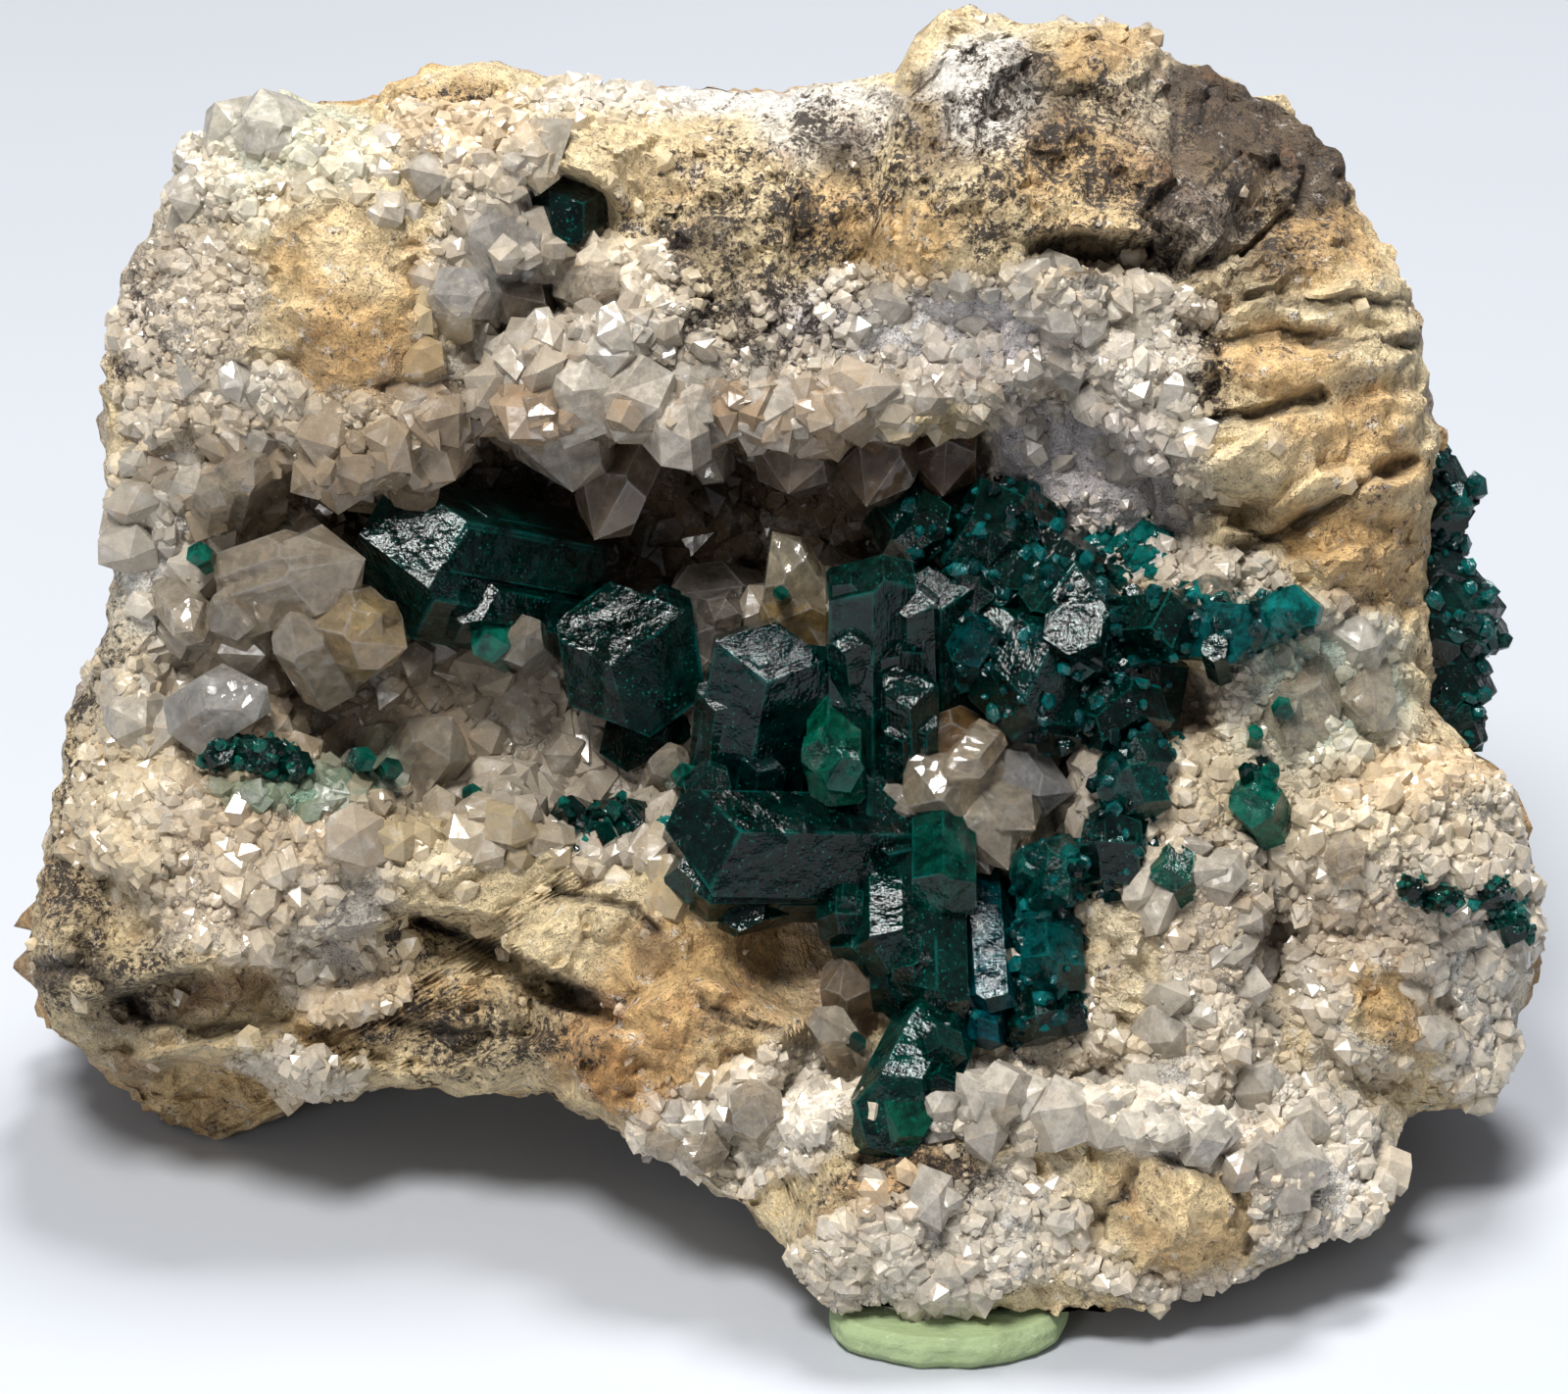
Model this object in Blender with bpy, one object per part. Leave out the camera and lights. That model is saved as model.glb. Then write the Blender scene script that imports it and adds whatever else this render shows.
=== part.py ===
"""Dioptase on a quartz-lined limestone matrix, propped on a putty pad.

Every shape is laid out on the face plane, which stands square to a viewer who
looks down on the specimen: a point there is a photograph pixel (x right, y
down) and a depth w in millimetres towards that viewer. to_world turns such
points into the model's own frame: +Z up, origin under the middle of its box.
"""

from math import cos, pi, radians, sin

import bmesh
import bpy
import numpy as np
from mathutils import Matrix, Vector

MM = 0.001

# Driving dimensions, in millimetres unless a name says otherwise
SPECIMEN_WIDTH = 70.0
SPECIMEN_WIDTH_PIXELS = 1545.0
FACE_CENTRE_PIXEL = (800.0, 711.0)
VIEWER_DISTANCE = 300.0
VIEWER_ELEVATION = radians(24.0)
FACE_CENTRE_HEIGHT = 26.0
FACE_CENTRE_SIDE = 0.27
FACE_CENTRE_BACK = -7.2
GAP = 0.3
PIXEL = SPECIMEN_WIDTH / SPECIMEN_WIDTH_PIXELS
FLAT_ANGLE = 7.0

# The rock's grid and its rounding
ROCK_CELLS = 31
FRONT_SHOULDER = 7.0
BACK_SHOULDER = 5.0
FRONT_DEPTH_RATIO = 0.25
BACK_DEPTH_RATIO = 0.8
BACK_DEPTH = -33.75
BACK_LEAN = 0.42
HEART_DEPTH = -13.0
BACK_FADE = 4.5
FRONT_FADE = 12.0
UNDERSIDE_CLEARANCE = 2.0
ARCH_HEIGHT = 3.0
ROCK_FLOOR = -45.0

# How far each surface wanders, as noise: strength in millimetres or, for a
# rim and the back's lumps, as a share; size in millimetres; octaves; seed
FACE_LEVEL = -0.3
FACE_SWELL = (0.7, 9.0, 1, 5)
FACE_LUMPS = (0.75, 4.5, 2, 7)
RIM_SWAY = (0.16, 4.0, 1, 11)
RIM_RIPPLE = (0.08, 1.8, 1, 12)
BACK_SLICE = 40.0
BACK_SWELL = (2.2, 17.0, 1, 31)
BACK_LUMPS = (0.09, 11.0, 3, 51)
UNDERSIDE_LUMPS = (0.5, 7.0, 2, 41)

# A dome's fall from its top, as a share of its smaller half width, and how
# far past its rim it still counts
DOME_FALL = 0.5
DOME_REACH = 1.6

# The rock's outline as the viewer sees it: pixel x, pixel y, depth w
OUTLINE_CENTRE = (800.0, 700.0)
OUTLINE = [
    (25, 990, -10), (45, 900, -9), (62, 800, -8), (85, 700, -8), (104, 640, -7),
    (122, 585, -6), (118, 520, -5), (108, 440, -5), (107, 370, -6), (128, 285, -6),
    (176, 205, -6), (184, 160, -6), (250, 112, -6), (296, 98, -6), (330, 110, -7),
    (375, 112, -7), (402, 90, -6), (445, 70, -6), (505, 66, -6), (560, 85, -7),
    (640, 95, -8), (720, 96, -8), (800, 98, -8), (870, 84, -7), (915, 76, -6),
    (935, 35, -5), (965, 12, -5), (1002, 15, -5), (1050, 28, -6), (1112, 25, -8),
    (1165, 30, -10), (1190, 58, -12), (1240, 76, -13), (1282, 100, -14),
    (1330, 125, -14), (1360, 156, -13), (1376, 205, -12), (1397, 242, -11),
    (1424, 275, -10), (1446, 335, -9), (1456, 400, -9), (1466, 460, -9),
    (1462, 520, -10), (1455, 580, -11), (1455, 650, -11), (1466, 720, -10),
    (1502, 768, -9), (1536, 800, -8), (1547, 850, -8), (1563, 905, -8),
    (1562, 955, -8), (1555, 1010, -8), (1540, 1062, -8), (1524, 1110, -8),
    (1490, 1128, -8), (1440, 1132, -7), (1424, 1155, -4), (1415, 1195, -2),
    (1404, 1245, 0), (1345, 1264, 1), (1290, 1290, 2), (1250, 1315, 3),
    (1180, 1336, 3), (1130, 1346, 4), (1075, 1362, 4), (1000, 1352, 4),
    (950, 1346, 4), (898, 1364, 4), (860, 1350, 4), (830, 1312, 3),
    (800, 1270, 2), (760, 1226, 1), (700, 1190, 0), (640, 1160, -1),
    (590, 1130, -3), (558, 1110, -6), (500, 1116, -8), (420, 1106, -9),
    (350, 1113, -11), (300, 1130, -13), (250, 1152, -15), (215, 1167, -16),
    (185, 1157, -16), (150, 1122, -14), (100, 1080, -12), (60, 1040, -11),
    (36, 1012, -10),
]

# The face's forms, laid on in this order. Kinds: plate (a level patch), dome
# (a lump no lower than what it covers) and pit (a hollow no higher than it).
# kind, pixel x, pixel y, half width, half height, turn in degrees, depth w,
# slope of w to the right and upwards (mm per mm), softness of the rim
FACE_FORMS = {
    "upper_left_lobe": ("plate", 270, 250, 200, 170, 0, 1.5, 0.05, -0.10, 0.5),
    "left_side": ("plate", 110, 780, 75, 250, 8, -4.0, 0.55, 0.02, 0.5),
    "left_mid_slope": ("plate", 230, 640, 130, 210, 0, -1.5, 0.05, 0.02, 0.5),
    "peak": ("plate", 1060, 130, 140, 120, 10, 0.5, -0.05, -0.12, 0.4),
    "top_right_back": ("plate", 1300, 170, 120, 140, 25, -8.5, -0.25, -0.35, 0.3),
    "right_block": ("plate", 1320, 440, 150, 200, -8, -2.0, -0.25, -0.03, 0.25),
    "grey_slope": ("plate", 1110, 510, 140, 110, -20, -4.5, -0.10, 0.20, 0.35),
    "hollow": ("plate", 600, 600, 400, 235, 8, -7.5, -0.02, 0.04, 0.35),
    "hollow_right": ("plate", 960, 720, 240, 260, 0, -6.0, 0.02, 0.00, 0.35),
    "deep_hollow": ("plate", 660, 500, 290, 105, 0, -14.5, 0.00, 0.05, 0.35),
    "left_recess": ("plate", 420, 440, 110, 80, -20, -9.5, -0.10, 0.00, 0.4),
    "top_recess": ("plate", 505, 270, 80, 105, -15, -5.5, 0.00, 0.00, 0.3),
    "ledge": ("plate", 640, 375, 155, 62, 12, 1.2, 0.00, -0.05, 0.25),
    "ledge_right": ("plate", 850, 375, 190, 62, -3, 0.3, -0.03, -0.05, 0.25),
    "tan_lump": ("dome", 350, 300, 95, 125, 12, 4.2, 0.0, 0.0, 1.0),
    "left_crest": ("dome", 210, 335, 90, 80, -20, 2.8, 0.0, 0.0, 1.0),
    "top_lump_left": ("dome", 270, 170, 110, 75, -10, 2.6, 0.0, 0.0, 1.0),
    "brow": ("dome", 555, 155, 130, 70, 18, 2.4, 0.0, 0.0, 1.0),
    "peak_lump": ("dome", 1045, 215, 160, 110, 15, 2.6, 0.0, 0.0, 1.0),
    "peak_shelf": ("dome", 1110, 250, 90, 45, 15, 3.0, 0.0, 0.0, 1.0),
    "centre_top_lump": ("dome", 760, 230, 110, 90, 0, 1.4, 0.0, 0.0, 1.0),
    "pocket": ("pit", 578, 215, 52, 36, -20, -2.5, 0.0, 0.0, 0.5),
    "right_groove": ("pit", 1195, 262, 60, 26, -20, -5.0, 0.0, 0.0, 0.6),
    "block_band_top": ("dome", 1340, 310, 105, 32, -4, -0.2, 0.0, 0.0, 1.0),
    "block_band_mid": ("dome", 1300, 375, 125, 34, -8, 0.2, 0.0, 0.0, 1.0),
    "block_band_low": ("dome", 1320, 455, 130, 48, -14, 0.9, 0.0, 0.0, 1.0),
    "block_groove": ("pit", 1290, 535, 120, 14, -20, -4.2, 0.0, 0.0, 0.8),
    "block_toe": ("dome", 1375, 565, 75, 65, -25, -0.6, 0.0, 0.0, 1.0),
    "green_ridge": ("dome", 1150, 615, 190, 42, 8, -2.8, 0.0, 0.0, 1.0),
    "white_flank": ("plate", 1345, 700, 88, 75, -10, -1.6, -0.15, 0.05, 0.2),
    "lower_right_block": ("plate", 1400, 930, 170, 190, 0, -1.8, -0.14, 0.02, 0.3),
    "right_hollow": ("pit", 1335, 960, 75, 95, 10, -6.5, 0.0, 0.0, 0.7),
    "right_bulge": ("dome", 1440, 860, 110, 70, 0, 0.6, 0.0, 0.0, 1.0),
    "right_toe": ("dome", 1400, 1040, 70, 55, -20, 0.4, 0.0, 0.0, 1.0),
    "right_ridge": ("plate", 1185, 960, 95, 200, 8, 1.0, 0.02, -0.04, 0.4),
    "lower_lobe": ("plate", 1090, 1225, 300, 120, -6, 5.6, 0.00, -0.02, 0.35),
    "lobe_lump": ("dome", 1200, 1245, 95, 72, -10, 8.2, 0.0, 0.0, 1.0),
    "lobe_lump_left": ("dome", 1110, 1205, 50, 50, 0, 7.4, 0.0, 0.0, 1.0),
    "lobe_block": ("dome", 1150, 1160, 75, 28, -3, 7.4, 0.0, 0.0, 1.0),
    "lobe_crest": ("dome", 900, 1230, 110, 60, 20, 6.6, 0.0, 0.0, 1.0),
    "tan_plate": ("plate", 690, 985, 190, 105, 12, 0.8, 0.02, -0.04, 0.2),
    "tan_lobe": ("plate", 680, 1085, 125, 75, 18, 2.8, 0.02, -0.02, 0.3),
    "cave": ("pit", 830, 960, 70, 60, 0, -6.0, 0.0, 0.0, 0.6),
    "druse_mound": ("plate", 290, 880, 185, 95, -8, -0.6, -0.02, 0.10, 0.35),
    "left_ledge": ("plate", 260, 1010, 260, 42, 14, -4.5, 0.00, 0.05, 0.3),
    "low_ledge": ("plate", 440, 1040, 150, 48, 6, -3.4, 0.05, 0.05, 0.25),
    "seam": ("pit", 515, 985, 125, 16, -26, -5.4, 0.0, 0.0, 0.6),
    "foot": ("plate", 215, 1125, 95, 48, 0, -12.5, 0.10, 0.35, 0.4),
}

# Underside: world x, world y and radius of the two stone feet, in millimetres
STONE_FEET = {
    "left_foot": (-28.0, -1.0, 3.4),
    "back_foot": (15.0, 20.0, 4.5),
}
ARCH = (-16.0, 3.0, 10.0, 18.0)
ARCH_RIM = 1.4
FOOT_RIM = 2.0
PAD_SEAT = (8.0, -20.0, 7.5, 6.0)
PAD_SEAT_STEEPNESS = 3.0
PAD_SEAT_HEIGHT = 1.9
GROUND_X = (-46.0, 46.0)
GROUND_Y = (-34.0, 42.0)
GROUND_STEP = 4.0
GROUND_BOTTOM = -40.0

# The druse that lines the hollow: its edge on the face, as pixels
DRUSE_EDGE = [
    (128, 470), (190, 428), (262, 452), (330, 440), (392, 455), (428, 392),
    (432, 300), (470, 226), (532, 205), (590, 268), (655, 300), (700, 352),
    (790, 392), (880, 372), (985, 402), (1000, 480), (1090, 545), (1128, 640),
    (1172, 742), (1120, 850), (1076, 962), (1012, 1040), (930, 1010), (880, 940),
    (770, 905), (672, 900), (600, 868), (548, 902), (470, 852), (398, 880),
    (330, 842), (262, 838), (190, 800), (152, 700), (176, 612), (126, 548),
]
DRUSE_THICKNESS = 0.9
DRUSE_RIM = 0.45
DRUSE_POINT = (0.7, 1.9)
DRUSE_SHIFT = (0.3, 0.7)
DRUSE_SEED = 17
EDGE_PRISM_DEPTHS = (-30.0, 12.0)

# Crystals: the height of a point over its prism's radius, how far corners
# stand out and lie in, and how deep a quartz point's root sits in the stone
QUARTZ_STEEPNESS = 1.25
DIOPTASE_STEEPNESS = 1.0
CORNER_OUT = 1.06
CORNER_IN = 0.97
ROOT_CLEARANCE = 0.2

# Quartz points that stand out of the druse: root pixel and depth, tip pixel
# and depth, width in millimetres, roll in degrees
QUARTZ = {
    "ledge_fang": (575, 395, -3.5, 568, 505, -0.5, 4.6, 10),
    "ledge_tooth": (660, 430, -6.5, 605, 545, -2.5, 3.6, 35),
    "ledge_stub": (830, 420, -6.0, 800, 510, -1.0, 3.9, 5),
    "ledge_block": (915, 425, -6.0, 885, 512, -1.5, 3.4, 20),
    "ledge_end": (965, 425, -6.5, 962, 500, -3.0, 2.9, 0),
    "window_top": (550, 265, -2.5, 484, 240, 2.2, 3.4, 15),
    "window_low": (520, 305, -2.5, 448, 300, 3.6, 2.6, 40),
    "left_prism": (290, 600, -5.0, 358, 570, 1.6, 3.9, 25),
    "left_point": (300, 615, -4.5, 410, 648, 1.2, 3.7, 0),
    "left_block": (215, 740, -3.5, 265, 695, 0.8, 3.4, 30),
    "low_block": (420, 790, -6.0, 458, 735, -3.0, 3.0, 15),
    "back_points": (760, 620, -9.0, 690, 600, -5.5, 3.0, 10),
    "pale_point": (845, 640, -8.0, 785, 550, -3.5, 3.2, 20),
    "pale_base": (840, 620, -7.5, 790, 640, -3.5, 3.2, 50),
    "island": (990, 800, -6.0, 965, 770, 0.4, 5.6, 12),
    "island_side": (1010, 790, -6.0, 1085, 800, -0.8, 4.0, 30),
    "island_toe": (985, 800, -5.0, 1010, 870, 0.0, 3.9, 0),
    "seam_point": (880, 1010, -4.0, 860, 985, 0.5, 2.4, 20),
}

# Dioptase prisms of each separate group, in the same words
DIOPTASE = {
    "dioptase_left": {
        "great": (600, 606, -8.5, 362, 562, -1.0, 6.3, 12),
        "rounded": (650, 690, -11.5, 634, 672, -2.4, 6.4, 8),
        "foot": (665, 745, -9.0, 640, 745, -5.0, 3.4, 0),
    },
    "dioptase_main": {
        "hub": (905, 745, -5.5, 905, 925, -1.5, 5.6, 14),
        "leaning": (748, 856, -4.6, 790, 636, -0.8, 5.0, 12),
        "tower": (892, 800, -3.6, 893, 563, 0.8, 4.2, 2),
        "tower_side": (960, 780, -4.5, 955, 580, -0.8, 3.8, 20),
        "tower_back": (1010, 720, -6.0, 1015, 570, -1.6, 3.6, 5),
        "between": (845, 800, -4.5, 832, 655, -1.6, 3.2, 20),
        "hanging": (852, 720, -2.5, 850, 818, 0.9, 2.6, 10),
        "lying": (895, 868, -2.4, 680, 864, 2.0, 5.0, 8),
        "lying_low": (880, 906, -2.4, 700, 908, 2.2, 2.8, 22),
        "down_great": (945, 835, -2.6, 950, 1052, 2.2, 4.4, 4),
        "down_left": (890, 880, -2.6, 884, 1000, 1.2, 3.0, 15),
        "down_bright": (962, 835, -1.6, 962, 925, 2.6, 2.8, 0),
        "down_blue": (1000, 900, -3.0, 1010, 1040, 2.0, 2.8, 25),
        "upper_dark": (1000, 550, -7.0, 893, 505, -4.2, 3.8, 10),
        "upper_mass": (1050, 570, -5.5, 985, 530, -1.4, 4.6, 30),
        "upper_mass_low": (1040, 620, -5.5, 1092, 556, -1.0, 4.4, 12),
        "bridge": (1100, 690, -4.5, 975, 655, -0.4, 4.4, 8),
        "ridge_great": (1165, 712, -4.0, 1010, 688, 1.4, 4.8, 12),
        "ridge_top": (1050, 640, -4.5, 1130, 610, 0.6, 3.8, 5),
        "ridge_mid": (1100, 645, -3.5, 1218, 632, 1.8, 3.2, 20),
        "ridge_right": (1180, 640, -2.0, 1288, 648, 1.6, 2.7, 0),
        "ridge_end": (1262, 648, -1.5, 1340, 612, 1.2, 2.1, 10),
        "chain_top": (1090, 710, -4.0, 1168, 738, 1.6, 3.6, 5),
        "chain_mid": (1125, 745, -3.5, 1162, 822, 2.4, 3.4, 20),
        "chain_low": (1150, 790, -2.5, 1128, 896, 2.4, 3.0, 8),
        "corner": (1130, 875, -2.5, 1054, 898, 2.0, 3.2, 14),
        "corner_low": (1062, 890, -2.5, 1072, 1010, 2.2, 3.0, 2),
        "corner_toe": (1050, 960, -2.0, 1060, 1062, 2.2, 2.6, 16),
        "lower": (962, 1030, 0.5, 896, 1160, 7.2, 3.6, 14),
        "lower_side": (975, 1060, 0.5, 950, 1125, 6.4, 2.2, 0),
    },
    "dioptase_pocket": {
        "pocket": (612, 198, -4.5, 560, 230, 0.2, 3.0, 10),
    },
    "dioptase_right": {
        "crest": (1440, 500, -13.5, 1486, 500, -10.0, 3.4, 10),
        "crest_low": (1440, 560, -14.0, 1468, 552, -10.0, 2.8, 0),
        "body": (1430, 625, -14.5, 1514, 620, -9.6, 4.4, 20),
        "body_low": (1430, 690, -14.0, 1502, 692, -9.2, 3.8, 5),
        "spike": (1470, 690, -12.0, 1516, 688, -11.0, 1.7, 0),
        "tail": (1455, 730, -12.0, 1504, 752, -9.4, 2.6, 12),
    },
    "dioptase_chip_centre": {"chip": (1206, 902, 0.0, 1194, 878, 2.3, 2.2, 12)},
    "dioptase_chip_upper": {"chip": (1292, 838, -1.5, 1276, 808, 1.0, 2.3, 4)},
    "dioptase_chip_right": {
        "long": (1442, 912, -3.0, 1490, 920, -0.2, 1.3, 0),
        "head": (1450, 912, -3.0, 1436, 905, 0.0, 1.2, 20),
    },
    "dioptase_chip_edge": {
        "upper": (1538, 935, -4.5, 1522, 900, -2.4, 1.6, 0),
        "lower": (1530, 920, -4.6, 1552, 960, -2.8, 1.5, 15),
    },
    "dioptase_vein_left": {
        "left": (245, 775, -2.2, 215, 768, 0.4, 1.4, 0),
        "mid": (240, 770, -2.2, 278, 768, 0.7, 1.7, 20),
        "right": (270, 772, -2.4, 312, 782, 0.4, 1.4, 5),
    },
    "dioptase_vein_centre": {
        "left": (605, 845, -7.0, 572, 832, -3.6, 1.9, 0),
        "low": (590, 850, -6.5, 612, 862, -1.2, 1.9, 20),
        "right": (600, 848, -6.0, 662, 832, -1.4, 2.0, 10),
    },
}

# The putty pad's plan as seen from above: x, y in millimetres, anticlockwise
PUTTY_PLAN = [
    (2.9, -22.6), (4.6, -23.5), (7.8, -24.1), (10.6, -23.6), (13.0, -21.4),
    (13.4, -18.6), (11.4, -16.6), (7.6, -15.9), (4.2, -16.6), (2.5, -19.0),
]
PUTTY_HEIGHT = PAD_SEAT_HEIGHT - GAP
# Its rings from the ground up: share of the plan, and of the height
PUTTY_RINGS = ((0.96, 0.0), (1.03, 0.25), (1.02, 0.7), (0.95, 1.0))

# Each material's colour and roughness
COLOURS = {
    "matrix": ((0.62, 0.49, 0.33), 0.85),
    "druse": ((0.66, 0.60, 0.53), 0.35),
    "dioptase": ((0.004, 0.10, 0.085), 0.12),
    "putty": ((0.36, 0.46, 0.26), 0.6),
}


def face_point(pixel_x, pixel_y):
    """Pixels of the face plane as millimetres from its centre."""
    a = (np.asarray(pixel_x, float) - FACE_CENTRE_PIXEL[0]) * PIXEL
    b = (FACE_CENTRE_PIXEL[1] - np.asarray(pixel_y, float)) * PIXEL
    return a, b


def to_world(a, b, w):
    """Face-plane points at depth w, in the model's frame, in millimetres.

    A point nearer the viewer is drawn in towards the line of sight, so it
    keeps its place in the viewer's picture.
    """
    near = (VIEWER_DISTANCE - w) / VIEWER_DISTANCE
    u, v = a * near, b * near
    x = u + FACE_CENTRE_SIDE
    y = v * sin(VIEWER_ELEVATION) - w * cos(VIEWER_ELEVATION) + FACE_CENTRE_BACK
    z = v * cos(VIEWER_ELEVATION) + w * sin(VIEWER_ELEVATION) + FACE_CENTRE_HEIGHT
    return np.stack([x, y, z], -1)


def smooth(t):
    """Smoothstep of t, held to 0..1."""
    t = np.clip(t, 0, 1)
    return t * t * (3 - 2 * t)


def lattice_value(ix, iy, iz, seed):
    """A repeatable value from 0 to 1 at each whole-numbered lattice point."""
    h = ix * 374761393 + iy * 668265263 + iz * 2147483647 + seed * 974634777
    h = (h ^ (h >> 13)) * 1274126177 & 0x7FFFFFFF
    return ((h ^ (h >> 16)) & 0xFFFF) / 65535.0


def value_noise(points, size, seed):
    """Smooth noise from -1 to 1 that changes over about size millimetres."""
    p = points / size
    base = np.floor(p).astype(np.int64)
    t = smooth(p - base)
    total = np.zeros(len(p))
    for corner in range(8):
        step = np.array([corner & 1, corner >> 1 & 1, corner >> 2 & 1])
        weight = np.prod(np.where(step, t, 1 - t), axis=1)
        ix, iy, iz = (base + step).T
        total += weight * lattice_value(ix, iy, iz, seed)
    return total * 2 - 1


def rough(points, size, octaves, seed):
    """Noise summed over octaves, each half as large and half as strong."""
    total = np.zeros(len(points))
    for octave in range(octaves):
        scale = 0.5**octave
        total += scale * value_noise(points, size * scale, seed + octave)
    return total


def lumps(points, strength, size, octaves, seed):
    """One of the named wanders: noise times its strength."""
    return strength * rough(points, size, octaves, seed)


def ellipse_distance(a, b, form):
    """Distance from an ellipse's centre, 1 on its rim, and the offsets."""
    x, y, half_width, half_height, turn = form
    ca, cb = face_point(x, y)
    da, db = a - ca, b - cb
    c, s = cos(radians(turn)), sin(radians(turn))
    along, across = da * c + db * s, -da * s + db * c
    return np.hypot(along / (half_width * PIXEL), across / (half_height * PIXEL)), da, db


def face_depth(a, b):
    """Depth w of the rock's face: its forms laid on in order."""
    flat = np.stack([a, b, np.zeros_like(a)], -1)
    wander = lumps(flat, *RIM_SWAY) + lumps(flat, *RIM_RIPPLE)
    w = lumps(flat, *FACE_SWELL) + FACE_LEVEL
    for kind, x, y, hw, hh, turn, level, slope_a, slope_b, soft in FACE_FORMS.values():
        r, da, db = ellipse_distance(a, b, (x, y, hw, hh, turn))
        r = r + wander
        if kind == "plate":
            mask = smooth((1 + soft * 0.5 - r) / soft)
            w = w + mask * (level + slope_a * da + slope_b * db - w)
        elif kind == "dome":
            top = level - DOME_FALL * min(hw, hh) * PIXEL * r * r
            w = np.where(r < DOME_REACH, np.maximum(w, top), w)
        else:
            mask = smooth((1 + soft * 0.5 - r) / soft)
            w = w + mask * (np.minimum(level, w) - w)
    return w


def back_depth(a, b):
    """Depth w of the rock's back, which stands nearly upright."""
    flat = np.stack([a, b, np.full_like(a, BACK_SLICE)], -1)
    return BACK_DEPTH + BACK_LEAN * b + lumps(flat, *BACK_SWELL)


def disc_grid(cells):
    """A square grid bent to a disc in rings: radius 0..1 and angle."""
    line = np.linspace(-1, 1, cells + 1)
    x, y = np.meshgrid(line, line, indexing="ij")
    wide = np.abs(x) > np.abs(y)
    r = np.where(wide, x, y)
    over = np.where(wide, x, np.where(y == 0, 1, y))
    turn = np.where(wide, y, x) / over * pi / 4
    angle = np.where(wide, turn, pi / 2 - turn)
    px, py = r * np.cos(angle), r * np.sin(angle)
    return np.hypot(px, py), np.arctan2(py, px)


def shoulder(s, power, ratio):
    """A superellipse's run and rise at even steps along its arc."""
    t = np.linspace(0, pi / 2, 600)
    run, rise = np.sin(t) ** (2 / power), np.cos(t)
    arc = np.hypot(np.diff(run), ratio * np.diff(rise))
    arc = np.concatenate([[0], np.cumsum(arc)])
    return np.interp(s, arc / arc[-1], run), np.interp(s, arc / arc[-1], rise)


def outline_at(angle):
    """The outline's radius and depth w in each direction from its centre."""
    x, y, w = np.array(OUTLINE, float).T
    ca, cb = face_point(*OUTLINE_CENTRE)
    a, b = face_point(x, y)
    turn = np.arctan2(b - cb, a - ca)
    order = np.argsort(turn)
    turn, radius, w = turn[order], np.hypot(a - ca, b - cb)[order], w[order]
    turn = np.concatenate([turn - 2 * pi, turn, turn + 2 * pi])
    return np.interp(angle, turn, np.tile(radius, 3)), np.interp(angle, turn, np.tile(w, 3))


def sheet(radius, angle, power, ratio, depth):
    """One side of the rock over the disc grid: face coordinates a, b, w."""
    run, rise = shoulder(radius, power, ratio)
    reach, rim = outline_at(angle)
    ca, cb = face_point(*OUTLINE_CENTRE)
    a = ca + run * reach * np.cos(angle)
    b = cb + run * reach * np.sin(angle)
    return a, b, rim + (depth(a.ravel(), b.ravel()).reshape(a.shape) - rim) * rise


def underside_height(x, y):
    """How high the stone's underside stands: 0 at its feet, level at the pad."""
    flat = np.stack([x, y, np.zeros_like(x)], -1)
    ax, ay, half_x, half_y = ARCH
    arch = smooth(ARCH_RIM - np.hypot((x - ax) / half_x, (y - ay) / half_y))
    height = UNDERSIDE_CLEARANCE + ARCH_HEIGHT * arch + lumps(flat, *UNDERSIDE_LUMPS)
    px, py, half_x, half_y = PAD_SEAT
    away = np.hypot((x - px) / half_x, (y - py) / half_y)
    seat = smooth(1 + PAD_SEAT_STEEPNESS * (1 - away))
    height = height + seat * (PAD_SEAT_HEIGHT - height)
    for fx, fy, radius in STONE_FEET.values():
        foot = smooth(FOOT_RIM - np.hypot(x - fx, y - fy) / radius)
        height = height * (1 - foot)
    return height


def ground_block():
    """What the rock's underside is cut by: a slab with the underside on top."""
    count_x = int((GROUND_X[1] - GROUND_X[0]) / GROUND_STEP) + 1
    count_y = int((GROUND_Y[1] - GROUND_Y[0]) / GROUND_STEP) + 1
    line_x = np.linspace(*GROUND_X, count_x)
    line_y = np.linspace(*GROUND_Y, count_y)
    x, y = np.meshgrid(line_x, line_y, indexing="ij")
    height = underside_height(x.ravel(), y.ravel())
    top = np.stack([x.ravel(), y.ravel(), height], -1)
    corners = [(0, 0), (-1, 0), (-1, -1), (0, -1)]
    low = np.array([(x[c], y[c], GROUND_BOTTOM) for c in corners])
    number = np.arange(x.size).reshape(x.shape)
    faces = []
    for i in range(count_x - 1):
        for j in range(count_y - 1):
            p, q, r, s = cell_ring(number, i, j)
            faces += [(p, q, r), (p, r, s)]
    sides = [number[:, 0], number[-1, :], number[::-1, -1], number[0, ::-1]]
    for k, side in enumerate(sides):
        foot = [x.size + (k + 1) % 4, x.size + k]
        faces.append(tuple(foot + [int(n) for n in side])[::-1])
    faces.append(tuple(x.size + k for k in (3, 2, 1, 0)))
    return mesh_object("ground_block", np.concatenate([top, low]), faces, "matrix")


def cell_ring(number, i, j):
    """The four corners of a grid cell, in turn."""
    return [number[i, j], number[i + 1, j], number[i + 1, j + 1], number[i, j + 1]]


def split_cell(ring, i, j, cells):
    """A cell's two triangles, parted along the line that runs to the middle."""
    p, q, r, s = ring
    if (2 * i < cells) == (2 * j < cells):
        return [(p, q, r), (p, r, s)]
    return [(p, q, s), (q, r, s)]


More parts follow.
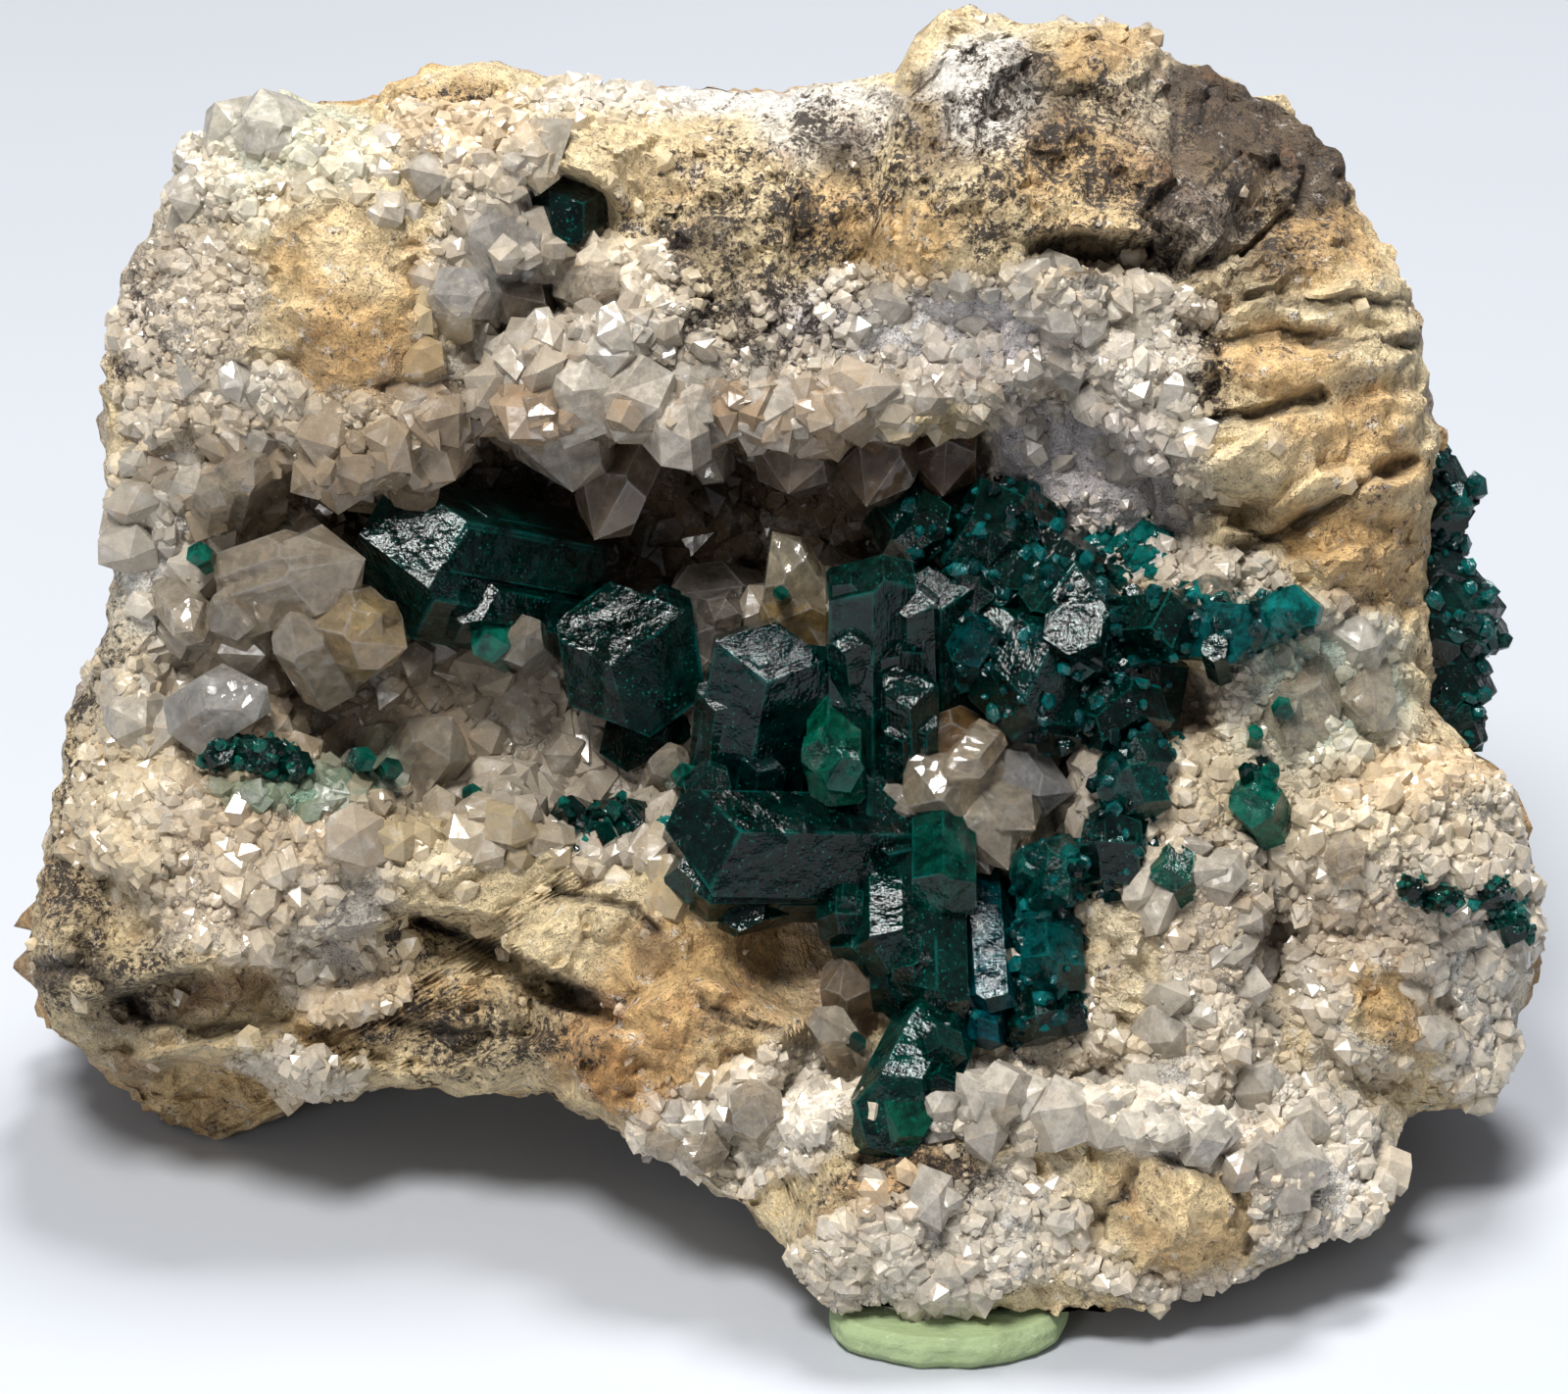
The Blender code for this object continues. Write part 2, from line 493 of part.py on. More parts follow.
def grid_triangles(number, flip):
    """Two triangles for each cell of a grid of point numbers."""
    cells = number.shape[0] - 1
    faces = []
    for i in range(cells):
        for j in range(cells):
            faces += split_cell(cell_ring(number, i, j), i, j, cells)
    return [face[::-1] for face in faces] if flip else faces


def mesh_object(name, points, faces, slot):
    """A named object from points in millimetres and faces."""
    mesh = bpy.data.meshes.new(name)
    mesh.from_pydata((np.asarray(points) * MM).tolist(), [], [list(f) for f in faces])
    mesh.materials.append(material(slot))
    obj = bpy.data.objects.new(name, mesh)
    bpy.context.scene.collection.objects.link(obj)
    return obj


def material(slot):
    """The slot's plain Principled material, made once."""
    found = bpy.data.materials.get(slot)
    if found:
        return found
    made = bpy.data.materials.new(slot)
    made.use_nodes = True
    shader = made.node_tree.nodes["Principled BSDF"]
    colour, roughness = COLOURS[slot]
    shader.inputs["Base Color"].default_value = (*colour, 1)
    shader.inputs["Roughness"].default_value = roughness
    return made


def rock_skin():
    """The rock's front and back grids: face coordinates and roughened depth."""
    radius, angle = disc_grid(ROCK_CELLS)
    front = sheet(radius, angle, FRONT_SHOULDER, FRONT_DEPTH_RATIO, face_depth)
    back = sheet(radius, angle, BACK_SHOULDER, BACK_DEPTH_RATIO, back_depth)
    return radius, front, back


def roughen_face(radius, front):
    """Lumps and pits a few millimetres across, fading out at the outline."""
    a, b, w = (c.ravel() for c in front)
    place = np.stack([a, b, w], -1)
    fade = smooth((1 - radius.ravel()) * FRONT_FADE)
    return (w + fade * lumps(place, *FACE_LUMPS)).reshape(front[2].shape)


def build_matrix(radius, front, back):
    """The rock: a front and a back sheet that share the outline's ring."""
    a, b, w = front
    near = to_world(a.ravel(), b.ravel(), w.ravel())
    place = np.stack([c.ravel() for c in back], -1)
    heart = np.array([*face_point(*OUTLINE_CENTRE), HEART_DEPTH])
    fade = smooth((1 - radius.ravel()) * BACK_FADE)
    swell = 1 + fade * (lumps(place, *BACK_LUMPS) - BACK_LUMPS[0])
    far = to_world(*(heart + (place - heart) * swell[:, None]).T)
    count = a.size
    number = np.arange(count).reshape(a.shape)
    inner = np.full(a.shape, -1)
    inner[1:-1, 1:-1] = np.arange((a.shape[0] - 2) ** 2).reshape(a.shape[0] - 2, -1) + count
    behind = np.where(inner >= 0, inner, number)
    keep = (inner >= 0).ravel()
    points = np.concatenate([near, far[keep]])
    faces = grid_triangles(number, False) + grid_triangles(behind, True)
    rock = mesh_object("matrix", points, faces, "matrix")
    boolean(rock, ground_block(), "DIFFERENCE")
    keep_largest(rock)
    return rock


def inside_edge(a, b):
    """Whether face points lie within the druse's edge, by counting crossings."""
    ea, eb = face_point(*np.array(DRUSE_EDGE, float).T)
    inside = np.zeros(a.shape, bool)
    for k in range(len(ea)):
        a0, b0, a1, b1 = ea[k - 1], eb[k - 1], ea[k], eb[k]
        crosses = (b0 > b) != (b1 > b)
        inside ^= crosses & (a < a0 + (b - b0) * (a1 - a0) / (b1 - b0))
    return inside


def druse_cells(a, b):
    """The grid cells that the druse touches, with no cells joined by a corner."""
    inside = inside_edge(a, b)
    cells = inside[:-1, :-1] | inside[1:, :-1] | inside[1:, 1:] | inside[:-1, 1:]
    for _ in range(4):
        c00, c11 = cells[:-1, :-1], cells[1:, 1:]
        c01, c10 = cells[:-1, 1:], cells[1:, :-1]
        loose = (c00 & c11 & ~c01 & ~c10) | (c01 & c10 & ~c00 & ~c11)
        cells[:-1, :-1] |= loose
        cells[1:, :-1] |= loose
        cells[:-1, 1:] |= loose
    return cells


def druse_layers(front, cells):
    """Depths of the druse's foot, its top and the point over each cell."""
    a, b, w = front
    foot = w + GAP
    inside = np.zeros(a.shape, bool)
    full = np.ones(a.shape, bool)
    for di in (0, 1):
        for dj in (0, 1):
            window = (slice(di, di + cells.shape[0]), slice(dj, dj + cells.shape[1]))
            inside[window] |= cells
            full[window] &= cells
    full[[0, -1], :] = full[:, [0, -1]] = False
    top = foot + np.where(full, DRUSE_THICKNESS, DRUSE_RIM)
    random = np.random.default_rng(DRUSE_SEED)
    corners = [top[:-1, :-1], top[1:, :-1], top[1:, 1:], top[:-1, 1:]]
    point = np.mean(corners, axis=0) + random.uniform(*DRUSE_POINT, cells.shape)
    shift = random.uniform(*DRUSE_SHIFT, (2, *cells.shape))
    return foot, top, point, shift, inside


def cell_point(grid, shift):
    """A place inside each cell, blended between its corners."""
    s, t = shift
    low = grid[:-1, :-1] * (1 - s) + grid[1:, :-1] * s
    high = grid[:-1, 1:] * (1 - s) + grid[1:, 1:] * s
    return low * (1 - t) + high * t


def skin_solid(name, front, cells, layers, lift, floor):
    """A solid under the rock's face and druse, raised by lift: a cutter.

    With floor None it is the druse itself, closed by its own foot.
    """
    a, b, w = front
    foot, top, point, shift, inside = layers
    number = np.arange(a.size).reshape(a.shape)
    level = np.where(inside, top, w) + lift
    upper = to_world(a, b, level).reshape(-1, 3)
    peaks = to_world(cell_point(a, shift), cell_point(b, shift), point + lift)
    lower = to_world(a, b, foot if floor is None else np.full_like(a, floor)).reshape(-1, 3)
    peak_number = 2 * a.size + np.arange(cells.size).reshape(cells.shape)
    used = cells if floor is None else np.ones_like(cells)
    faces = []
    for i, j in np.argwhere(used):
        ring = cell_ring(number, i, j)
        flat = split_cell(ring, i, j, used.shape[0])
        if cells[i, j]:
            faces += [(ring[k], ring[(k + 1) % 4], peak_number[i, j]) for k in range(4)]
        else:
            faces += flat
        faces += [tuple(n + a.size for n in reversed(face)) for face in flat]
        beside = [(i, j - 1), (i + 1, j), (i, j + 1), (i - 1, j)]
        for k, (p, q) in enumerate(beside):
            inside_grid = 0 <= p < used.shape[0] and 0 <= q < used.shape[1]
            if not (inside_grid and used[p, q]):
                e, f = ring[k], ring[(k + 1) % 4]
                faces += [(f, e, e + a.size), (f, e + a.size, f + a.size)]
    points = np.concatenate([upper, lower, peaks.reshape(-1, 3)])
    used_points, faces = np.unique(faces, return_inverse=True)
    return mesh_object(name, points[used_points], faces.reshape(-1, 3), "druse")


def crystal_frame(spec):
    """A prism's root, axis and length from its pixels and depths."""
    x0, y0, w0, x1, y1, w1, width, roll = spec
    root = Vector(to_world(*face_point(x0, y0), w0))
    tip = Vector(to_world(*face_point(x1, y1), w1))
    return root, tip - root, width, radians(roll)


def crystal_object(name, spec, caps, steep, grow, slot):
    """A six-sided prism with a pointed end.

    caps is 3 for dioptase, whose three end faces stand over every other edge
    of the prism, and 6 for quartz, with one end face on each side. steep is
    the end's height over the prism's radius; grow thickens the whole crystal.
    """
    root, run, width, roll = crystal_frame(spec)
    radius = width / 2 + grow
    axis = run.normalized()
    length = run.length + grow
    peak = steep * radius
    turn = axis.to_track_quat("Z", "Y").to_matrix() @ Matrix.Rotation(roll, 3, "Z")
    points = []
    for k in range(6):
        drop = peak if caps == 6 or k % 2 == 0 else peak * 0.5
        spread = radius * (CORNER_OUT if k % 3 == 0 else CORNER_IN)
        x, y = spread * cos(k * pi / 3), spread * sin(k * pi / 3)
        points += [(x, y, -grow), (x, y, length - drop)]
    points += [(0, 0, -grow), (0, 0, length)]
    faces = []
    for k in range(6):
        p, q = 2 * k, 2 * ((k + 1) % 6)
        faces += [(p, q, q + 1, p + 1), (q, p, 12), (p + 1, q + 1, 13)]
    placed = [root + turn @ Vector(p) for p in points]
    return mesh_object(name, [tuple(p) for p in placed], faces, slot)


def boolean(target, other, operation):
    """Applies a Boolean to target and removes the other object."""
    modifier = target.modifiers.new("cut", "BOOLEAN")
    modifier.object, modifier.operation, modifier.solver = other, operation, "EXACT"
    graph = bpy.context.evaluated_depsgraph_get()
    made = bpy.data.meshes.new_from_object(target.evaluated_get(graph))
    target.modifiers.clear()
    target.data = made
    bpy.data.objects.remove(other)
    return target


def copy_of(obj):
    """A separate copy of an object and its mesh."""
    twin = obj.copy()
    twin.data = obj.data.copy()
    bpy.context.scene.collection.objects.link(twin)
    return twin


def keep_largest(obj):
    """Drops all loose fragments but the largest and joins its level faces."""
    bm = bmesh.new()
    bm.from_mesh(obj.data)
    left, islands = set(bm.verts), []
    while left:
        island, edge = set(), [left.pop()]
        while edge:
            vertex = edge.pop()
            island.add(vertex)
            for link in vertex.link_edges:
                other = link.other_vert(vertex)
                if other in left:
                    left.remove(other)
                    edge.append(other)
        islands.append(island)
    islands.sort(key=len, reverse=True)
    for island in islands[1:]:
        bmesh.ops.delete(bm, geom=list(island), context="VERTS")
    flat = radians(FLAT_ANGLE)
    bmesh.ops.dissolve_limit(bm, angle_limit=flat, verts=bm.verts, edges=bm.edges)
    bmesh.ops.triangulate(bm, faces=bm.faces)
    bm.to_mesh(obj.data)
    bm.free()


def build_group(name, specs, caps, steep, grow, slot):
    """One solid from a group of overlapping crystals."""
    joined = None
    for key, spec in specs.items():
        crystal = crystal_object(key, spec, caps, steep, grow, slot)
        joined = crystal if joined is None else boolean(joined, crystal, "UNION")
    joined.name = name
    return joined


def edge_prism():
    """A prism along the line of sight, of the druse's edge."""
    a, b = face_point(*np.array(DRUSE_EDGE, float).T)
    low = to_world(a, b, np.full_like(a, EDGE_PRISM_DEPTHS[0]))
    high = to_world(a, b, np.full_like(a, EDGE_PRISM_DEPTHS[1]))
    count = len(a)
    faces = [tuple(range(count)), tuple(reversed(range(count, 2 * count)))]
    for k in range(count):
        p, q = k, (k + 1) % count
        faces.append((q, p, p + count, q + count))
    return mesh_object("edge_prism", np.concatenate([low, high]), faces, "druse")


def build_druse(front, cells, layers):
    """The hollow's lining with its large quartz points, as one crust."""
    crust = skin_solid("quartz_druse", front, cells, layers, 0.0, None)
    boolean(crust, edge_prism(), "INTERSECT")
    bare = np.zeros_like(cells)
    plain = (layers[0], front[2], layers[2], layers[3], np.zeros_like(layers[4]))
    for key, spec in QUARTZ.items():
        point = crystal_object(key, spec, 6, QUARTZ_STEEPNESS, 0.0, "druse")
        lift = GAP + ROOT_CLEARANCE
        rock = skin_solid("rock_cut", front, bare, plain, lift, ROCK_FLOOR)
        boolean(crust, boolean(point, rock, "DIFFERENCE"), "UNION")
    keep_largest(crust)
    return crust


def build_dioptase(name, specs, skin, matrix, quartz):
    """A dioptase group, cut to sit on the rock and round the quartz."""
    group = build_group(name, specs, 3, DIOPTASE_STEEPNESS, 0.0, "dioptase")
    if name == "dioptase_right":
        boolean(group, swollen(matrix, GAP), "DIFFERENCE")
    else:
        boolean(group, copy_of(skin), "DIFFERENCE")
        boolean(group, copy_of(quartz), "DIFFERENCE")
    keep_largest(group)
    return group


def swollen(obj, amount):
    """A copy of a solid pushed out along its normals."""
    twin = copy_of(obj)
    bm = bmesh.new()
    bm.from_mesh(twin.data)
    bm.normal_update()
    for vertex in bm.verts:
        vertex.co += vertex.normal * amount * MM
    bm.to_mesh(twin.data)
    bm.free()
    return twin


def build_putty():
    """The pad: its plan drawn up from the ground to the stone's seat."""
    plan = np.array(PUTTY_PLAN)
    centre = plan.mean(axis=0)
    rings = []
    for share, rise in PUTTY_RINGS:
        ring = centre + (plan - centre) * share
        rings.append(np.column_stack([ring, np.full(len(plan), rise * PUTTY_HEIGHT)]))
    count = len(plan)
    points = np.concatenate(rings)
    faces = [tuple(reversed(range(count))), tuple(range(3 * count, 4 * count))]
    for level in range(3):
        for k in range(count):
            p, q = level * count + k, level * count + (k + 1) % count
            faces.append((p, q, q + count, p + count))
    return mesh_object("putty_pad", points, faces, "putty")


def main():
    for obj in list(bpy.data.objects):
        bpy.data.objects.remove(obj)
    radius, front, back = rock_skin()
    front = (front[0], front[1], roughen_face(radius, front))
    matrix = build_matrix(radius, front, back)
    cells = druse_cells(front[0], front[1])
    layers = druse_layers(front, cells)
    build_druse(front, cells, layers)
    quartz = build_group("quartz_cut", QUARTZ, 6, QUARTZ_STEEPNESS, GAP, "druse")
    skin = skin_solid("skin_cut", front, cells, layers, GAP, ROCK_FLOOR)
    for name, specs in DIOPTASE.items():
        build_dioptase(name, specs, skin, matrix, quartz)
    bpy.data.objects.remove(quartz)
    bpy.data.objects.remove(skin)
    build_putty()


if __name__ == "__main__":
    main()
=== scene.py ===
"""Dioptase on a quartz-lined limestone matrix: its surfaces, light and camera.

Laid out as an add-on and run as a script. Shapes are worked out on the face
plane, which stands square to a viewer who looks down on the specimen: a point
there is a photograph pixel (x right, y down) and a depth w in millimetres
towards that viewer. to_world turns such points into the model's frame.
"""
from functools import lru_cache
from math import cos, pi, radians, sin

import bpy
import numpy as np
from bpy.props import FloatProperty, FloatVectorProperty
from mathutils import Matrix, Vector


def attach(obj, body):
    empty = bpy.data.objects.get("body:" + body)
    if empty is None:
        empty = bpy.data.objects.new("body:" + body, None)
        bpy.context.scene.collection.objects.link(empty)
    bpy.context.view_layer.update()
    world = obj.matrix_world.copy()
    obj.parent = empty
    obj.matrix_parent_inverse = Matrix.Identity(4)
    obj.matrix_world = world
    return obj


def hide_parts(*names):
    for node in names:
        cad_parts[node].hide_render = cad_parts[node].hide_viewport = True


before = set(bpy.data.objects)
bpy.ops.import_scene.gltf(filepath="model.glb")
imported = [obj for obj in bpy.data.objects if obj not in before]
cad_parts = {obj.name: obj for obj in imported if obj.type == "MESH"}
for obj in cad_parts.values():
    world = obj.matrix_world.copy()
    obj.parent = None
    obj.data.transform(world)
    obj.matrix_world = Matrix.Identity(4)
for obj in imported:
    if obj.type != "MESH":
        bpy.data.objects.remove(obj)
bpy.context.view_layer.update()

bl_info = {
    "name": "Dioptase Specimen",
    "version": (1, 0, 0),
    "blender": (4, 5, 0),
    "location": "View3D > Sidebar > Specimen",
    "description": "Builds a dioptase, quartz and limestone specimen piece by piece",
    "category": "Add Mesh",
}

MM = 0.001
# Driving dimensions, in millimetres unless a name says otherwise
SPECIMEN_WIDTH = 70.0
SPECIMEN_WIDTH_PIXELS = 1545.0
FACE_CENTRE_PIXEL = (800.0, 711.0)
VIEWER_DISTANCE = 300.0
VIEWER_ELEVATION = radians(24.0)
FACE_CENTRE_HEIGHT = 26.0
FACE_CENTRE_SIDE = 0.27
FACE_CENTRE_BACK = -7.2
PIXEL = SPECIMEN_WIDTH / SPECIMEN_WIDTH_PIXELS

# The stone's fine grid; the back has half as many cells as the front
FRONT_CELLS = 276
BACK_CELLS = FRONT_CELLS // 2
FRONT_SHOULDER = 7.0
BACK_SHOULDER = 5.0
FRONT_DEPTH_RATIO = 0.25
BACK_DEPTH_RATIO = 0.8
BACK_DEPTH = -33.75
BACK_LEAN = 0.42
HEART_DEPTH = -13.0
BACK_ROUGHNESS = 0.09
BACK_FADE = 4.5
FRONT_FADE = 12.0
UNDERSIDE_CLEARANCE = 2.0
ARCH_HEIGHT = 3.0

# The layered block's ledges: pixel of their middle, reach across and upwards,
# height of a step, tilt in radians and the share of a step that slopes gently
LEDGE_CENTRE = (1330, 430)
LEDGE_REACH = (8.0, 11.0)
LEDGE_STEP = 3.3
LEDGE_TILT = 0.24
LEDGE_SLOPE = 0.82

# The rock's outline as the viewer sees it: pixel x, pixel y, depth w
OUTLINE_CENTRE = (800.0, 700.0)
OUTLINE = [
    (25, 990, -10), (45, 900, -9), (62, 800, -8), (85, 700, -8), (104, 640, -7),
    (122, 585, -6), (118, 520, -5), (108, 440, -5), (107, 370, -6), (128, 285, -6),
    (176, 205, -6), (184, 160, -6), (250, 112, -6), (296, 98, -6), (330, 110, -7),
    (375, 112, -7), (402, 90, -6), (445, 70, -6), (505, 66, -6), (560, 85, -7),
    (640, 95, -8), (720, 96, -8), (800, 98, -8), (870, 84, -7), (915, 76, -6),
    (935, 35, -5), (965, 12, -5), (1002, 15, -5), (1050, 28, -6), (1112, 25, -8),
    (1165, 30, -10), (1190, 58, -12), (1240, 76, -13), (1282, 100, -14),
    (1330, 125, -14), (1360, 156, -13), (1376, 205, -12), (1397, 242, -11),
    (1424, 275, -10), (1446, 335, -9), (1456, 400, -9), (1466, 460, -9),
    (1462, 520, -10), (1455, 580, -11), (1455, 650, -11), (1466, 720, -10),
    (1502, 768, -9), (1536, 800, -8), (1547, 850, -8), (1563, 905, -8),
    (1562, 955, -8), (1555, 1010, -8), (1540, 1062, -8), (1524, 1110, -8),
    (1490, 1128, -8), (1440, 1132, -7), (1424, 1155, -4), (1415, 1195, -2),
    (1404, 1245, 0), (1345, 1264, 1), (1290, 1290, 2), (1250, 1315, 3),
    (1180, 1336, 3), (1130, 1346, 4), (1075, 1362, 4), (1000, 1352, 4),
    (950, 1346, 4), (898, 1364, 4), (860, 1350, 4), (830, 1312, 3),
    (800, 1270, 2), (760, 1226, 1), (700, 1190, 0), (640, 1160, -1),
    (590, 1130, -3), (558, 1110, -6), (500, 1116, -8), (420, 1106, -9),
    (350, 1113, -11), (300, 1130, -13), (250, 1152, -15), (215, 1167, -16),
    (185, 1157, -16), (150, 1122, -14), (100, 1080, -12), (60, 1040, -11),
    (36, 1012, -10),
]

# The face's forms, laid on in this order. Kinds: plate (a level patch), dome
# (a lump no lower than what it covers) and pit (a hollow no higher than it).
# kind, pixel x, pixel y, half width, half height, turn in degrees, depth w,
# slope of w to the right and upwards (mm per mm), softness of the rim
FACE_FORMS = {
    "upper_left_lobe": ("plate", 270, 250, 200, 170, 0, 1.5, 0.05, -0.10, 0.5),
    "left_side": ("plate", 110, 780, 75, 250, 8, -4.0, 0.55, 0.02, 0.5),
    "left_mid_slope": ("plate", 230, 640, 130, 210, 0, -1.5, 0.05, 0.02, 0.5),
    "peak": ("plate", 1060, 130, 140, 120, 10, 0.5, -0.05, -0.12, 0.4),
    "top_right_back": ("plate", 1300, 170, 120, 140, 25, -8.5, -0.25, -0.35, 0.3),
    "right_block": ("plate", 1320, 440, 150, 200, -8, -2.0, -0.25, -0.03, 0.25),
    "grey_slope": ("plate", 1110, 510, 140, 110, -20, -4.5, -0.10, 0.20, 0.35),
    "hollow": ("plate", 600, 600, 400, 235, 8, -7.5, -0.02, 0.04, 0.35),
    "hollow_right": ("plate", 960, 720, 240, 260, 0, -6.0, 0.02, 0.00, 0.35),
    "deep_hollow": ("plate", 660, 500, 290, 105, 0, -14.5, 0.00, 0.05, 0.35),
    "left_recess": ("plate", 420, 440, 110, 80, -20, -9.5, -0.10, 0.00, 0.4),
    "top_recess": ("plate", 505, 270, 80, 105, -15, -5.5, 0.00, 0.00, 0.3),
    "ledge": ("plate", 640, 375, 155, 62, 12, 1.2, 0.00, -0.05, 0.25),
    "ledge_right": ("plate", 850, 375, 190, 62, -3, 0.3, -0.03, -0.05, 0.25),
    "tan_lump": ("dome", 350, 300, 95, 125, 12, 4.2, 0.0, 0.0, 1.0),
    "left_crest": ("dome", 210, 335, 90, 80, -20, 2.8, 0.0, 0.0, 1.0),
    "top_lump_left": ("dome", 270, 170, 110, 75, -10, 2.6, 0.0, 0.0, 1.0),
    "brow": ("dome", 555, 155, 130, 70, 18, 2.4, 0.0, 0.0, 1.0),
    "peak_lump": ("dome", 1045, 215, 160, 110, 15, 2.6, 0.0, 0.0, 1.0),
    "peak_shelf": ("dome", 1110, 250, 90, 45, 15, 3.0, 0.0, 0.0, 1.0),
    "centre_top_lump": ("dome", 760, 230, 110, 90, 0, 1.4, 0.0, 0.0, 1.0),
    "pocket": ("pit", 578, 215, 52, 36, -20, -2.5, 0.0, 0.0, 0.5),
    "right_groove": ("pit", 1150, 264, 80, 18, -8, -2.6, 0.0, 0.0, 0.8),
    "block_band_top": ("dome", 1340, 310, 105, 32, -4, -0.2, 0.0, 0.0, 1.0),
    "block_band_mid": ("dome", 1300, 375, 125, 34, -8, 0.2, 0.0, 0.0, 1.0),
    "block_band_low": ("dome", 1320, 455, 130, 48, -14, 0.9, 0.0, 0.0, 1.0),
    "block_groove": ("pit", 1290, 535, 120, 14, -20, -4.2, 0.0, 0.0, 0.8),
    "block_toe": ("dome", 1375, 565, 75, 65, -25, -0.6, 0.0, 0.0, 1.0),
    "green_ridge": ("dome", 1150, 615, 190, 42, 8, -2.8, 0.0, 0.0, 1.0),
    "white_flank": ("plate", 1345, 700, 88, 75, -10, -1.6, -0.15, 0.05, 0.2),
    "lower_right_block": ("plate", 1400, 930, 170, 190, 0, -1.8, -0.14, 0.02, 0.3),
    "right_hollow": ("pit", 1345, 955, 75, 95, 10, -4.6, 0.0, 0.0, 0.9),
    "right_bulge": ("dome", 1440, 860, 110, 70, 0, 0.6, 0.0, 0.0, 1.0),
    "right_toe": ("dome", 1400, 1040, 70, 55, -20, 0.4, 0.0, 0.0, 1.0),
    "right_ridge": ("plate", 1185, 960, 95, 200, 8, 1.0, 0.02, -0.04, 0.4),
    "lower_lobe": ("plate", 1090, 1225, 300, 120, -6, 5.6, 0.00, -0.02, 0.35),
    "lobe_lump": ("dome", 1200, 1245, 95, 72, -10, 8.2, 0.0, 0.0, 1.0),
    "lobe_lump_left": ("dome", 1110, 1205, 50, 50, 0, 7.4, 0.0, 0.0, 1.0),
    "lobe_block": ("dome", 1150, 1160, 75, 28, -3, 7.4, 0.0, 0.0, 1.0),
    "lobe_crest": ("dome", 900, 1230, 110, 60, 20, 6.6, 0.0, 0.0, 1.0),
    "tan_plate": ("plate", 690, 985, 190, 105, 12, 0.8, 0.02, -0.04, 0.2),
    "tan_lobe": ("plate", 680, 1085, 125, 75, 18, 2.8, 0.02, -0.02, 0.3),
    "cave": ("pit", 830, 960, 70, 60, 0, -4.0, 0.0, 0.0, 1.0),
    "druse_mound": ("plate", 290, 880, 185, 95, -8, -0.6, -0.02, 0.10, 0.35),
    "left_ledge": ("plate", 260, 1010, 260, 42, 14, -4.5, 0.00, 0.05, 0.3),
    "low_ledge": ("plate", 440, 1040, 150, 48, 6, -3.4, 0.05, 0.05, 0.25),
    "seam": ("pit", 515, 985, 125, 16, -26, -5.4, 0.0, 0.0, 0.6),
    "foot": ("plate", 215, 1125, 95, 48, 0, -12.5, 0.10, 0.35, 0.4),
}

# Underside: world x, world y and radius of the two stone feet, in millimetres
STONE_FEET = {
    "left_foot": (-28.0, -1.0, 3.4),
    "back_foot": (15.0, 20.0, 4.5),
}
ARCH = (-16.0, 3.0, 10.0, 18.0)
PAD_SEAT = (8.0, -20.0, 7.5, 6.0)
PAD_SEAT_HEIGHT = 1.9

